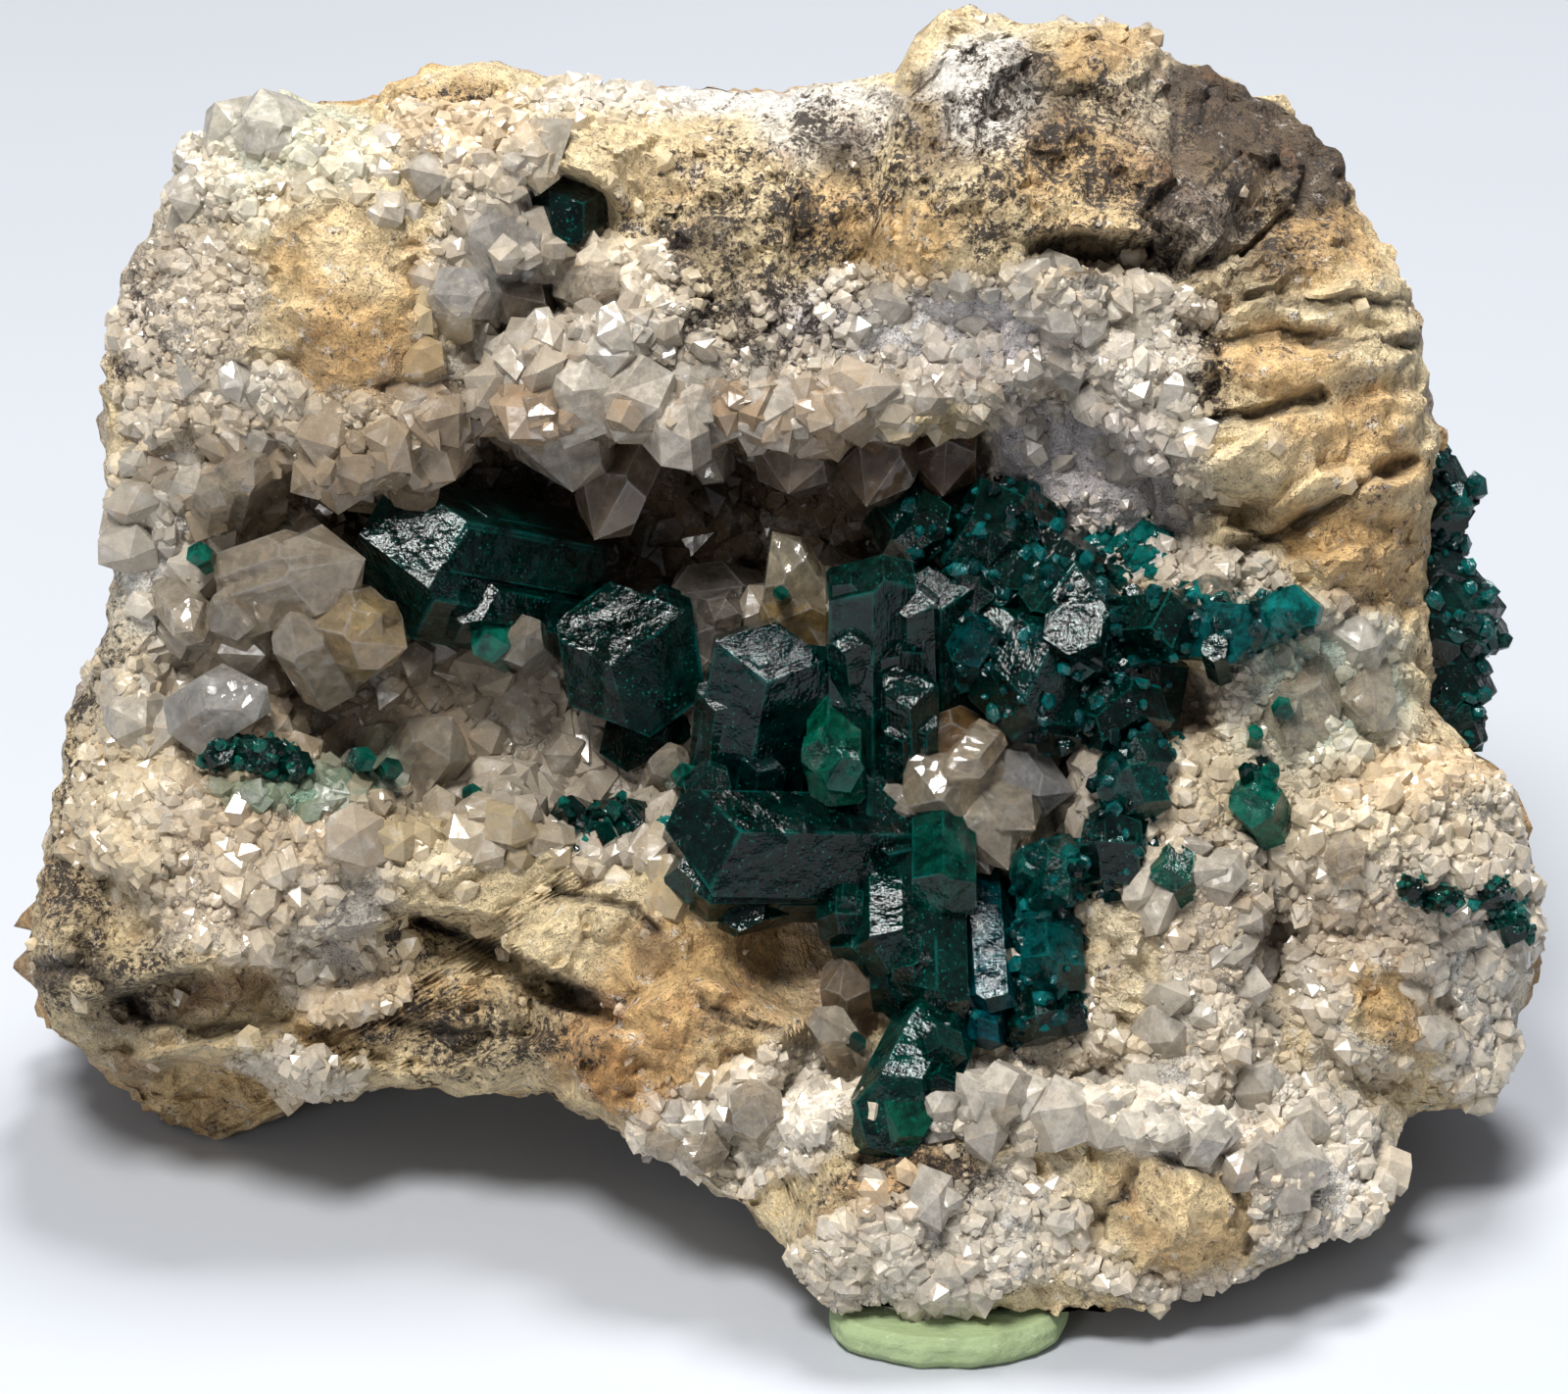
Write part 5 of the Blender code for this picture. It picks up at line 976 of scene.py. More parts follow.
def weather(points, relief):
    """Ridges and dents all round the stone, along rays from its heart."""
    heart = to_world(*face_point(*OUTLINE_CENTRE), HEART_DEPTH)
    ridges = 0.4 - np.abs(rough(points, 3.2, 4, 88))
    swell = 1 + relief * (0.018 * ridges + 0.009 * rough(points, 1.1, 2, 89))
    return heart + (points - heart) * swell[:, None]


@lru_cache(maxsize=2)
def stone_front(relief, crack_scale):
    """The face's fine grid: a, b, its place, its radius and the cracks' dark."""
    radius, angle = disc_grid(FRONT_CELLS)
    a, b, w = sheet(radius, angle, FRONT_SHOULDER, FRONT_DEPTH_RATIO, face_depth)
    a, b, w, radius = (grid.ravel() for grid in (a, b, w, radius))
    fade = smooth((1 - radius) * FRONT_FADE)
    w = w + fade * 0.75 * rough(np.stack([a, b, w], -1), 4.5, 2, 7)
    height, dark = fine_relief(a, b, relief, crack_scale)
    w = w + smooth((1 - radius) * 40) * height
    return a, b, clip_underside(weather(to_world(a, b, w), relief)), radius, dark


def stone_back(relief):
    """The back's grid: its place in the model's frame and its radius."""
    radius, angle = disc_grid(BACK_CELLS)
    back = sheet(radius, angle, BACK_SHOULDER, BACK_DEPTH_RATIO, back_depth)
    place = np.stack([grid.ravel() for grid in back], -1)
    heart = np.array([*face_point(*OUTLINE_CENTRE), HEART_DEPTH])
    fade = smooth((1 - radius.ravel()) * BACK_FADE)
    swell = 1 + fade * BACK_ROUGHNESS * (rough(place, 11.0, 3, 51) - 1)
    ridged = 0.5 - np.abs(rough(place, 3.6, 4, 53))
    edge = smooth((1 - radius.ravel()) * 20)
    swell = swell + edge * relief * (0.035 * ridged + 0.012 * rough(place, 1.2, 2, 54))
    far = to_world(*(heart + (place - heart) * swell[:, None]).T)
    return clip_underside(weather(far, relief))


def add_mesh(name, points, faces, tint=None, sharp=None, **values):
    """A mesh object from points in millimetres, triangles and point attributes."""
    mesh = bpy.data.meshes.new(name)
    faces = np.ascontiguousarray(faces, np.int32)
    mesh.vertices.add(len(points))
    mesh.vertices.foreach_set("co", (points * MM).astype(np.float32).ravel())
    mesh.loops.add(faces.size)
    mesh.loops.foreach_set("vertex_index", faces.ravel())
    mesh.polygons.add(len(faces))
    mesh.polygons.foreach_set("loop_start", np.arange(0, faces.size, 3, dtype=np.int32))
    mesh.update(calc_edges=True)
    mesh.validate()
    if tint is not None:
        colours = mesh.attributes.new("tint", "FLOAT_COLOR", "POINT")
        colours.data.foreach_set("color", tint.astype(np.float32).ravel())
    for key, value in values.items():
        value = np.asarray(value, np.float32)
        kind, field = ("FLOAT_VECTOR", "vector") if value.ndim == 2 else ("FLOAT", "value")
        layer = mesh.attributes.new(key, kind, "POINT")
        layer.data.foreach_set(field, value.ravel())
    if sharp is None:
        mesh.shade_flat()
    else:
        mesh.shade_smooth()
        mesh.set_sharp_from_angle(angle=radians(sharp))
    old = bpy.data.objects.get(name)
    if old:
        bpy.data.objects.remove(old)
    made = bpy.data.objects.new(name, mesh)
    bpy.context.scene.collection.objects.link(made)
    return made


def settle(piece, slot_name, material, *nodes):
    """Gives a piece its material, its body and the nodes it replaces; slot_name is not used."""
    piece.data.materials.append(material)
    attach(piece, "root")
    if nodes:
        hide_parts(*nodes)


def build_stone(options):
    """The limestone and quartz matrix as one closed skin of two grids."""
    a, b, near, radius, dark = stone_front(options.relief, options.crack_depth)
    far = stone_back(options.relief)
    front = np.arange(near.shape[0]).reshape(FRONT_CELLS + 1, -1)
    behind = np.zeros((BACK_CELLS + 1, BACK_CELLS + 1), int)
    behind[...] = front[::2, ::2]
    keep = np.zeros_like(behind, bool)
    keep[1:-1, 1:-1] = True
    behind[keep] = len(near) + np.arange(keep.sum())
    ring = np.concatenate([front[:-1, 0], front[-1, :-1], front[:0:-1, -1], front[0, :0:-1]])
    stitch = np.stack([ring[::2], np.roll(ring, -2)[::2], ring[1::2]], -1)
    faces = np.concatenate([grid_faces(front), grid_faces(behind, True), stitch])
    points = np.concatenate([near, far[keep.ravel()]])
    back = far[keep.ravel()]
    tint = np.concatenate([face_tint(a, b), back_tint(back)])
    rest = np.zeros(len(back))
    specks = area_mask(a, b, [area + (0,) for area in SPECK_AREAS], 0.8, 63)
    specks = np.maximum(specks, 0.25 * smooth(1 - quartz_mask(a, b)))
    quartz = np.concatenate([quartz_mask(a, b), 0.25 * smooth(1 - rough(back, 9, 3, 57) * 3)])
    return add_mesh(
        "stone", points, faces, tint, 34,
        quartz=quartz,
        specks=np.concatenate([specks, rest + 0.35]),
        crack=np.concatenate([dark, rest]),
    )


def back_tint(points):
    """The unseen sides' colour: tan, cream, grey and brown by broad noise."""
    base = np.tile(linear(TAN), (len(points), 1))
    for seed, colour, size, strength in BACK_PATCHES:
        mask = smooth(rough(points, size, 4, seed) * 1.8 + 0.2)[:, None] * strength
        base = base + mask * (linear(colour) - base)
    return base


def tube_faces(number):
    """Triangles of a closed tube whose rows run upwards, and its two end fans.

    number holds each point's own number, row by row; the middle of the foot
    and the middle of the top follow them.
    """
    beside = np.roll(number, -1, axis=1)
    p, q, r, s = number[:-1], beside[:-1], beside[1:], number[1:]
    foot, top = np.full((2, number.shape[1]), [[number.size], [number.size + 1]])
    return np.concatenate([
        np.stack([p, q, r], -1).reshape(-1, 3), np.stack([p, r, s], -1).reshape(-1, 3),
        np.stack([beside[0], number[0], foot], -1), np.stack([number[-1], beside[-1], top], -1),
    ])


def unit(vectors):
    """Vectors made one long."""
    return vectors / np.linalg.norm(vectors, axis=-1, keepdims=True)


def face_cells(options):
    """The face's grid cells: corner p, sides to q and s, normals, areas, a, b."""
    a, b, place, _, _ = stone_front(options.relief, options.crack_depth)
    shape = (FRONT_CELLS + 1, FRONT_CELLS + 1)
    grid, a, b = place.reshape(*shape, 3), a.reshape(shape), b.reshape(shape)
    p, q, r, s = grid[:-1, :-1], grid[1:, :-1], grid[1:, 1:], grid[:-1, 1:]
    normal = np.cross(r - p, s - q)
    size = np.linalg.norm(normal, axis=-1)
    middle = [0.25 * (c[:-1, :-1] + c[1:, :-1] + c[1:, 1:] + c[:-1, 1:]).ravel() for c in (a, b)]
    flat = [v.reshape(-1, 3) for v in (p, q - p, s - p, normal)]
    return (*flat, size.ravel() / 2, *middle)


def sample_face(options, weigh, count, seed):
    """Random places on the face, thick where weigh(a, b) is high."""
    rng = np.random.default_rng(seed)
    p, to_q, to_s, normal, area, a, b = face_cells(options)
    chance = weigh(a, b) * area
    pick = rng.choice(len(area), count, p=chance / chance.sum())
    u, v = rng.random((2, count, 1))
    place = p[pick] + u * to_q[pick] + v * to_s[pick]
    return place, unit(normal[pick] + 1e-9), a[pick], b[pick]


HEXAGON = np.arange(6) * pi / 3


def stub_shape(rings):
    """A six-sided crystal from rings of radius and height, with a tip at 1."""
    across = np.stack([np.cos(HEXAGON), np.sin(HEXAGON)], -1)
    corners = [np.column_stack([across * r, np.full(6, z)]) for r, z in rings]
    faces = [(0, k + 1, k) for k in range(1, 5)]
    for level in range(len(rings)):
        for k in range(6):
            p, q = level * 6 + k, level * 6 + (k + 1) % 6
            last = level == len(rings) - 1
            faces += [(p, q, 6 * len(rings))] if last else [(p, q, q + 6), (p, q + 6, p + 6)]
    return np.concatenate([*corners, [[0.0, 0.0, 1.0]]]), np.array(faces)


STUB = stub_shape([(1.0, -0.7), (0.95, 0.45)])


def stubs(place, axis, radius, stretch, uneven, seed):
    """Short closed six-sided crystals, one at each place.

    Each is the same shape, stretched along its axis, squeezed across it and
    with its corners moved by uneven times its radius at random.
    """
    corners, cells = STUB
    rng = np.random.default_rng(seed)
    count = len(place)
    axis = unit(axis)
    side = unit(np.cross(axis, rng.normal(size=(count, 3))))
    other = np.cross(axis, side)
    scale = radius[:, None] * rng.uniform(0.75, 1.25, (count, 3)) * [1, 1, stretch]
    local = corners + uneven * rng.uniform(-1, 1, (count, *corners.shape))
    local = local * scale[:, None, :]
    points = place[:, None] + local[..., :1] * side[:, None]
    points = points + local[..., 1:2] * other[:, None] + local[..., 2:] * axis[:, None]
    faces = cells[None] + len(corners) * np.arange(count)[:, None, None]
    return points.reshape(-1, 3), faces.reshape(-1, 3)


def viewer_axis():
    """The direction from the face to the viewer."""
    return np.array([0, -cos(VIEWER_ELEVATION), sin(VIEWER_ELEVATION)])


def build_stubs(name, options, weigh, count, sizes, colour_of, seed, lean, pull):
    """Small crystals crowded on the face wherever weigh is high, as one mesh.

    Their sizes follow a power law between the two given, so that most are
    small, and swell and shrink from place to place; lean tips them at random
    and pull turns them to the viewer. Each is sunk into the stone by up to
    nearly its radius, and a little lighter or darker than its neighbours.
    """
    rng = np.random.default_rng(seed + 1)
    place, normal, a, b = sample_face(options, weigh, count, seed)
    low, high = sizes
    radius = low + (high - low) * rng.random(count) ** 2.2
    radius = radius * (1 + 0.4 * flat_noise(a, b, 4.0, 2, seed))
    sink = rng.uniform(0, 0.95, count)
    place = place - normal * (radius * sink)[:, None]
    axis = normal + pull * viewer_axis() + lean * rng.normal(size=(count, 3))
    points, faces = stubs(place, axis, radius, 1.15, 0.2, seed + 2)
    tint = colour_of(a, b) * rng.uniform(0.93, 1.07, (count, 1))
    tint = tint * (1 + 0.16 * flat_noise(a, b, 2.2, 3, seed + 3)[:, None])
    tint[:, 3] = 1
    return add_mesh(name, points, faces, np.repeat(tint, len(STUB[0]), axis=0))


def hexagon_corners(sides):
    """Where neighbouring sides of a hexagon meet, from their distances out."""
    turn, following = HEXAGON, HEXAGON + pi / 3
    onward = np.roll(sides, -1)
    x = (sides * np.sin(following) - onward * np.sin(turn)) / sin(pi / 3)
    y = (onward * np.cos(turn) - sides * np.cos(following)) / sin(pi / 3)
    return x, y


def ridge_angles(slopes, facing):
    """Directions of the ridges between neighbouring planes through one apex."""
    dx = slopes * np.cos(facing) - np.roll(slopes * np.cos(facing), -1)
    dy = slopes * np.sin(facing) - np.roll(slopes * np.sin(facing), -1)
    angle = np.arctan2(dx, -dy)
    return np.where(np.cos(angle - facing) > 0, angle, angle + pi)


def prism(root, tip, width, roll, caps, steep, seed):
    """One crystal as a closed grid: points, faces, edge value and own coordinates.

    A hexagon with uneven sides is carried along the axis, and planes that
    slope from one apex cut its end. The columns stand in directions seen from
    the apex: one on each corner and each ridge, and one close by on either
    side, so that every edge is sharp. Rows run up the side, then in to the
    apex. The edge value is 1 on an edge and 0 beside it.
    """
    rng = np.random.default_rng(seed)
    length, half = np.linalg.norm(tip - root), width / 2
    sides = half * rng.uniform(0.82, 1.1, 6)
    apex_x, apex_y = 0.4 * half * rng.uniform(-1, 1, 2)
    slopes = steep * rng.uniform(0.75, 1.25, caps)
    facing = np.arange(caps) * 2 * pi / caps + (0 if caps == 6 else pi / 6)
    corner_x, corner_y = hexagon_corners(sides)
    corners = np.arctan2(corner_y - apex_y, corner_x - apex_x)
    ridges = ridge_angles(slopes, facing)
    theta = np.concatenate([corners, ridges])
    theta = np.concatenate([theta, theta - EDGE_WIDTH, theta + EDGE_WIDTH]) % (2 * pi)
    on_corner = np.zeros(len(theta))
    on_corner[:6] = 1
    on_ridge = np.zeros(len(theta))
    on_ridge[6:6 + caps] = 1
    order = np.argsort(theta)
    theta, on_corner, on_ridge = theta[order], on_corner[order], on_ridge[order]
    along = np.cos(theta[:, None] - HEXAGON)
    room = sides - apex_x * np.cos(HEXAGON) - apex_y * np.sin(HEXAGON)
    reach = np.where(along > 1e-6, room / np.maximum(along, 1e-6), np.inf).min(axis=1)
    fall = (slopes * np.cos(theta[:, None] - facing)).max(axis=1) * reach
    foot = -FOOT_REACH * half
    side = np.array(SIDE_ROWS)[:, None]
    inward = np.array(CAP_ROWS)[:, None]
    out = np.concatenate([np.ones_like(side), 1 - inward])
    x = apex_x + out * reach * np.cos(theta)
    y = apex_y + out * reach * np.sin(theta)
    z = np.concatenate([foot + side * (length - fall - foot), length - (1 - inward) * fall])
    edge = np.concatenate([on_corner * np.ones_like(side), on_ridge * np.ones_like(inward)])
    edge[len(SIDE_ROWS) - 1] = 1
    local = np.stack([x, y, z], -1).reshape(-1, 3)
    local = np.concatenate([local, [[0, 0, foot], [apex_x, apex_y, length]]])
    faces = tube_faces(np.arange(x.size).reshape(x.shape))
    turn = Vector(tip - root).to_track_quat("Z", "Y").to_matrix()
    spin = np.array(turn) @ np.array(Matrix.Rotation(radians(roll), 3, "Z"))
    return root + local @ spin.T, faces, np.append(edge.ravel(), [0, 1]), local


def bunch(root, tip, width, roll, steep, fellows, rng):
    """A crystal and smaller ones grown beside it, nearly parallel to it."""
    yield root, tip, width, roll, steep
    run = tip - root
    across = unit(np.cross(run, [0.3, 0.2, 1.0]))
    other = unit(np.cross(run, across))
    for _ in range(fellows):
        angle = rng.uniform(0, 2 * pi)
        shift = width * rng.uniform(0.2, 0.42) * (cos(angle) * across + sin(angle) * other)
        end = tip + shift - rng.uniform(0.05, 0.5) * run
        yield root + shift, end, width * rng.uniform(0.3, 0.62), roll + rng.uniform(-5, 5), steep


def grow_crust(corners, crust, rng, seed):
    """Small crystals over larger ones: points, faces, tint and edge value.

    corners holds the larger ones' triangles. The small ones stand on triangles
    picked at random by area, and about a third of them have lit tips.
    """
    _, count, low, high, colour = crust
    normal = np.cross(corners[:, 1] - corners[:, 0], corners[:, 2] - corners[:, 0])
    area = np.linalg.norm(normal, axis=1)
    pick = rng.choice(len(area), count, p=area / area.sum())
    radius = low + (high - low) * rng.random(count) ** 2
    axis = unit(normal[pick]) + 0.35 * rng.normal(size=(count, 3))
    points, faces = stubs(corners[pick].mean(axis=1), axis, radius, 1.2, 0.14, seed)
    shade = linear(colour) * rng.uniform(0.25, 1.6, (count, 1)) ** 1.5
    lit = (rng.random((count, 1)) < 0.3) * rng.uniform(0.3, 1, (count, 1))
    edge = (lit * np.append(np.zeros(6), np.ones(7))).ravel()
    return points, faces, np.repeat(shade, len(STUB[0]), axis=0), edge


def build_prisms(name, specs, habit, colour, seed, tints=None, crust=None):
    """Several large crystals of one habit as one mesh.

    tints holds single crystals' own colours. crust, when given, says which
    crystals small ones grow over, how many, their sizes and their colour.
    """
    rng = np.random.default_rng(seed)
    caps, steep, fellows, spread = habit
    points, faces, shades, edges, grains, grown, total = [], [], [], [], [], [], 0
    for key, (x0, y0, w0, x1, y1, w1, width, roll, *own) in specs.items():
        root, tip = to_world(*face_point(x0, y0), w0), to_world(*face_point(x1, y1), w1)
        count = int(fellows * width)
        for one in bunch(root, tip, width, roll, own[0] if own else steep, count, rng):
            place, cell, edge, local = prism(*one[:4], caps, one[4], seed + total)
            shade = linear((tints or {}).get(key, colour)) * rng.uniform(1 - spread, 1 + spread)
            points.append(place)
            faces.append(cell + total)
            shades.append(np.tile(shade, (len(place), 1)))
            edges.append(edge)
            grains.append(local + total % 97)
            total += len(place)
            if crust and key.startswith(crust[0]):
                grown.append(place[cell])
    if grown:
        place, cell, shade, edge = grow_crust(np.concatenate(grown), crust, rng, seed)
        points.append(place)
        faces.append(cell + total)
        shades.append(shade)
        edges.append(edge)
        grains.append(place)
    tint = np.concatenate(shades)
    tint[:, 3] = 1
    return add_mesh(
        name, np.concatenate(points), np.concatenate(faces), tint, 12,
        glow=np.concatenate(edges), own=np.concatenate(grains),
    )


def build_putty(options):
    """The putty pad: its plan, rounded and drawn up between ground and stone."""
    plan = np.array(PUTTY_PLAN)
    centre = plan.mean(axis=0)
    turn = np.arctan2(*(plan - centre).T[::-1])
    order = np.argsort(turn)
    turn, reach = turn[order], np.hypot(*(plan - centre).T)[order]
    theta = np.linspace(-pi, pi, PUTTY_COLUMNS, endpoint=False)
    wrapped = np.concatenate([turn - 2 * pi, turn, turn + 2 * pi])
    outer = np.interp(theta, wrapped, np.tile(reach, 3))
    shares, rises = np.array(PUTTY_RINGS).T
    up = np.linspace(0, 1, PUTTY_SIDE_ROWS)
    inward = np.linspace(0.93, 0.08, PUTTY_FLAT_ROWS)
    rise = np.concatenate([np.zeros(PUTTY_FLAT_ROWS), up, np.ones(PUTTY_FLAT_ROWS)])
    share = np.concatenate([inward[::-1], np.interp(up, rises, shares), inward])
    x = centre[0] + share[:, None] * outer * np.cos(theta)
    y = centre[1] + share[:, None] * outer * np.sin(theta)
    z = np.repeat(rise[:, None] * PUTTY_HEIGHT, len(theta), axis=1)
    place = np.stack([x, y, z], -1).reshape(-1, 3)
    dent = 0.16 * rough(place, 1.6, 3, 97) - 0.12
    inner = np.array([*centre, PUTTY_HEIGHT / 2])
    place = place + unit(place - inner) * dent[:, None]
    place[:, 2] = np.clip(place[:, 2], 0, PUTTY_HEIGHT)
    ends = np.array([[*centre, 0], [*centre, PUTTY_HEIGHT]])
    faces = tube_faces(np.arange(x.size).reshape(x.shape))
    return add_mesh("putty", np.concatenate([place, ends]), faces, sharp=60)


def covered(a, b):
    """1 where dioptase prisms hide the stone, and 0 elsewhere."""
    return area_mask(a, b, PRISM_AREAS, 0.2, 69)


def hollow_weight(a, b):
    """Where the hollow's druse lies, less the places that dioptase covers."""
    bare = np.maximum(area_mask(a, b, LIMESTONE_AREAS, 0.2, 62), covered(a, b))
    return inside_edge(a, b, DRUSE_EDGE) * (1 - bare)


def sugar_weight(a, b):
    """Where sugary quartz lies outside the hollow: thick in clumps."""
    outside = 1 - inside_edge(a, b, DRUSE_EDGE)
    clumps = 0.25 + smooth(0.55 + flat_noise(a, b, 3.6, 3, 68))
    clumps = clumps * (1 - 0.85 * area_mask(a, b, SMOOTH_AREAS, 0.5, 72))
    return outside * (quartz_mask(a, b) ** 1.5 * clumps * (1 - covered(a, b)) + 0.003)


def lump_weight(a, b):
    """Where large frosty lumps of quartz crowd, such as the hollow's upper lip."""
    return area_mask(a, b, LUMP_AREAS, 0.3, 70) * (1 - covered(a, b))


def lump_tint(a, b):
    """Large lumps are frosty, and a little warmer where the stone is."""
    return 0.18 * face_tint(a, b) + 0.56 * linear(FROST)


def grain_weight(a, b):
    """Where small dioptase crystals crowd."""
    return area_mask(a, b, GRAIN_AREAS, 0.5, 66) ** 2


def druse_tint(a, b):
    """The hollow's crystals take the stone's colour there, with its painted shade of the deep
    hollow, made darker still as painted shade, and warmer.
    """
    return 0.5 * face_tint(a, b) + 0.17 * linear(WARM_QUARTZ)


def sugar_tint(a, b):
    """Sugary quartz is greyer and more even than the stone that it covers."""
    return 0.45 * face_tint(a, b) + 0.37 * linear(SUGAR)


def grain_tint(a, b):
    """Small dioptase crystals run from deep teal to bright turquoise."""
    bright = smooth(0.5 + flat_noise(a, b, 1.2, 2, 67))[:, None]
    return linear(DIOPTASE_DARK) * (1 - bright) + linear(DIOPTASE_BRIGHT) * bright


def build_floor(scene, options):
    """A pale floor, clouded a little by noise."""
    mesh = bpy.data.meshes.new("floor")
    half = FLOOR_HALF
    corners = [(-half, -half, 0), (half, -half, 0), (half, half, 0), (-half, half, 0)]
    mesh.from_pydata(corners, [], [(0, 1, 2, 3)])
    floor = bpy.data.objects.new("floor", mesh)
    scene.collection.objects.link(floor)
    made, tree, shader, place = new_material("floor")
    cloud = spread(tree, noise(tree, place, 6.0, 2), 0.3, 0.7, 0.0, 0.35)
    colour = blend(tree, cloud, tuple(options.floor_tint) + (1,), painted(FLOOR_CLOUD))
    tree.links.new(colour, shader.inputs["Base Color"])
    shader.inputs["Roughness"].default_value = 0.6
    mesh.materials.append(made)


def build_lights(scene):
    """Round softboxes, and a pale blue sky all round."""
    for name, stand, aim, size, power, colour in LIGHTS:
        lamp = bpy.data.lights.new(name, "AREA")
        lamp.shape, lamp.size, lamp.energy = "DISK", size, power
        lamp.color = colour
        light = bpy.data.objects.new(name, lamp)
        light.location = stand
        light.rotation_euler = (Vector(aim) - Vector(stand)).to_track_quat("-Z", "Y").to_euler()
        scene.collection.objects.link(light)
    world = bpy.data.worlds.new("studio")
    world.use_nodes = True
    sky = world.node_tree.nodes["Background"]
    sky.inputs["Color"].default_value = SKY_COLOUR
    sky.inputs["Strength"].default_value = SKY_STRENGTH
    scene.world = world
    scene.view_settings.view_transform = "Standard"


def build_camera(scene):
    """A camera where the viewer stands, whose frame is the photograph's."""
    eye = bpy.data.cameras.new("viewer")
    eye.sensor_width = SENSOR_WIDTH
    eye.lens = SENSOR_WIDTH * VIEWER_DISTANCE / (FRAME_PIXELS * PIXEL)
    eye.clip_start, eye.clip_end = 0.01, 10.0
    camera = bpy.data.objects.new("viewer", eye)
    middle = Vector(to_world(0.0, 0.0, 0.0)) * MM
    back = Vector(viewer_axis())
    camera.location = middle + back * VIEWER_DISTANCE * MM
    camera.rotation_euler = back.to_track_quat("Z", "Y").to_euler()
    scene.collection.objects.link(camera)
    scene.camera = camera


def node(tree, kind, inputs=None, **settings):
    """A shader node with its settings, values and links given together."""
    made = tree.nodes.new(kind)
    for key, value in settings.items():
        setattr(made, key, value)
    for key, value in (inputs or {}).items():
        if isinstance(value, bpy.types.NodeSocket):
            tree.links.new(value, made.inputs[key])
        else:
            made.inputs[key].default_value = value
    return made


def new_material(name):
    """An empty Principled material: its tree, shader and Object coordinates."""
    old = bpy.data.materials.get(name)
    if old:
        bpy.data.materials.remove(old)
    made = bpy.data.materials.new(name)
    made.use_nodes = True
    tree = made.node_tree
    place = node(tree, "ShaderNodeTexCoord").outputs["Object"]
    return made, tree, tree.nodes["Principled BSDF"], place


def noise(tree, place, scale, detail=4.0, rough_share=0.6, lacunarity=2.1):
    """A noise texture's value over Object coordinates; scale 1000 is 1 mm."""
    return node(tree, "ShaderNodeTexNoise", {
        "Vector": place, "Scale": scale, "Detail": detail,
        "Roughness": rough_share, "Lacunarity": lacunarity,
    }).outputs["Fac"]


def spread(tree, value, low, high, to_low=0.0, to_high=1.0):
    """A value from low..high carried smoothly to to_low..to_high, and held."""
    return node(tree, "ShaderNodeMapRange", {
        "Value": value, "From Min": low, "From Max": high,
        "To Min": to_low, "To Max": to_high,
    }, interpolation_type="SMOOTHSTEP").outputs["Result"]


def maths(tree, kind, first, second):
    """Two values put together: MULTIPLY, ADD, MAXIMUM and so on."""
    made = node(tree, "ShaderNodeMath", {0: first, 1: second}, operation=kind)
    return made.outputs["Value"]


def blend(tree, share, first, second, how="MIX"):
    """Two colours mixed by share."""
    made = node(tree, "ShaderNodeMix", {0: share, 6: first, 7: second},
                data_type="RGBA", blend_type=how)
    return made.outputs[2]


def attribute(tree, name, output="Fac"):
    """One of the mesh's own point attributes."""
    return node(tree, "ShaderNodeAttribute", attribute_name=name).outputs[output]


def tinted(tree, colour):
    """The mesh's own colours with a user's tint laid over them."""
    own = attribute(tree, "tint", "Color")
    return blend(tree, 1.0, own, tuple(colour) + (1,), "MULTIPLY")


def shaded(tree, colour, value):
    """A colour made darker or lighter by a value."""
    grey = node(tree, "ShaderNodeCombineColor", {0: value, 1: value, 2: value})
    return blend(tree, 1.0, colour, grey.outputs["Color"], "MULTIPLY")


def cells(tree, place, scale):
    """How far each place is from its nearest scattered point, in cells."""
    inputs = {"Vector": place, "Scale": scale}
    return node(tree, "ShaderNodeTexVoronoi", inputs, feature="F1").outputs["Distance"]


def stretched(tree, place, scale, turn=(0, 0, 0)):
    """Coordinates scaled along each axis and turned, for streaks and bands."""
    inputs = {"Vector": place, "Scale": scale, "Rotation": turn}
    return node(tree, "ShaderNodeMapping", inputs).outputs["Vector"]


def painted(colour):
    """An eye colour as a plain linear tuple for a shader."""
    return tuple(linear(colour))


def bump(tree, height, distance, strength=1.0, normal=None):
    """A bump of a height value, distance in metres, over another's normal."""
    inputs = {"Height": height, "Distance": distance, "Strength": strength}
    if normal is not None:
        inputs["Normal"] = normal
    return node(tree, "ShaderNodeBump", inputs).outputs["Normal"]


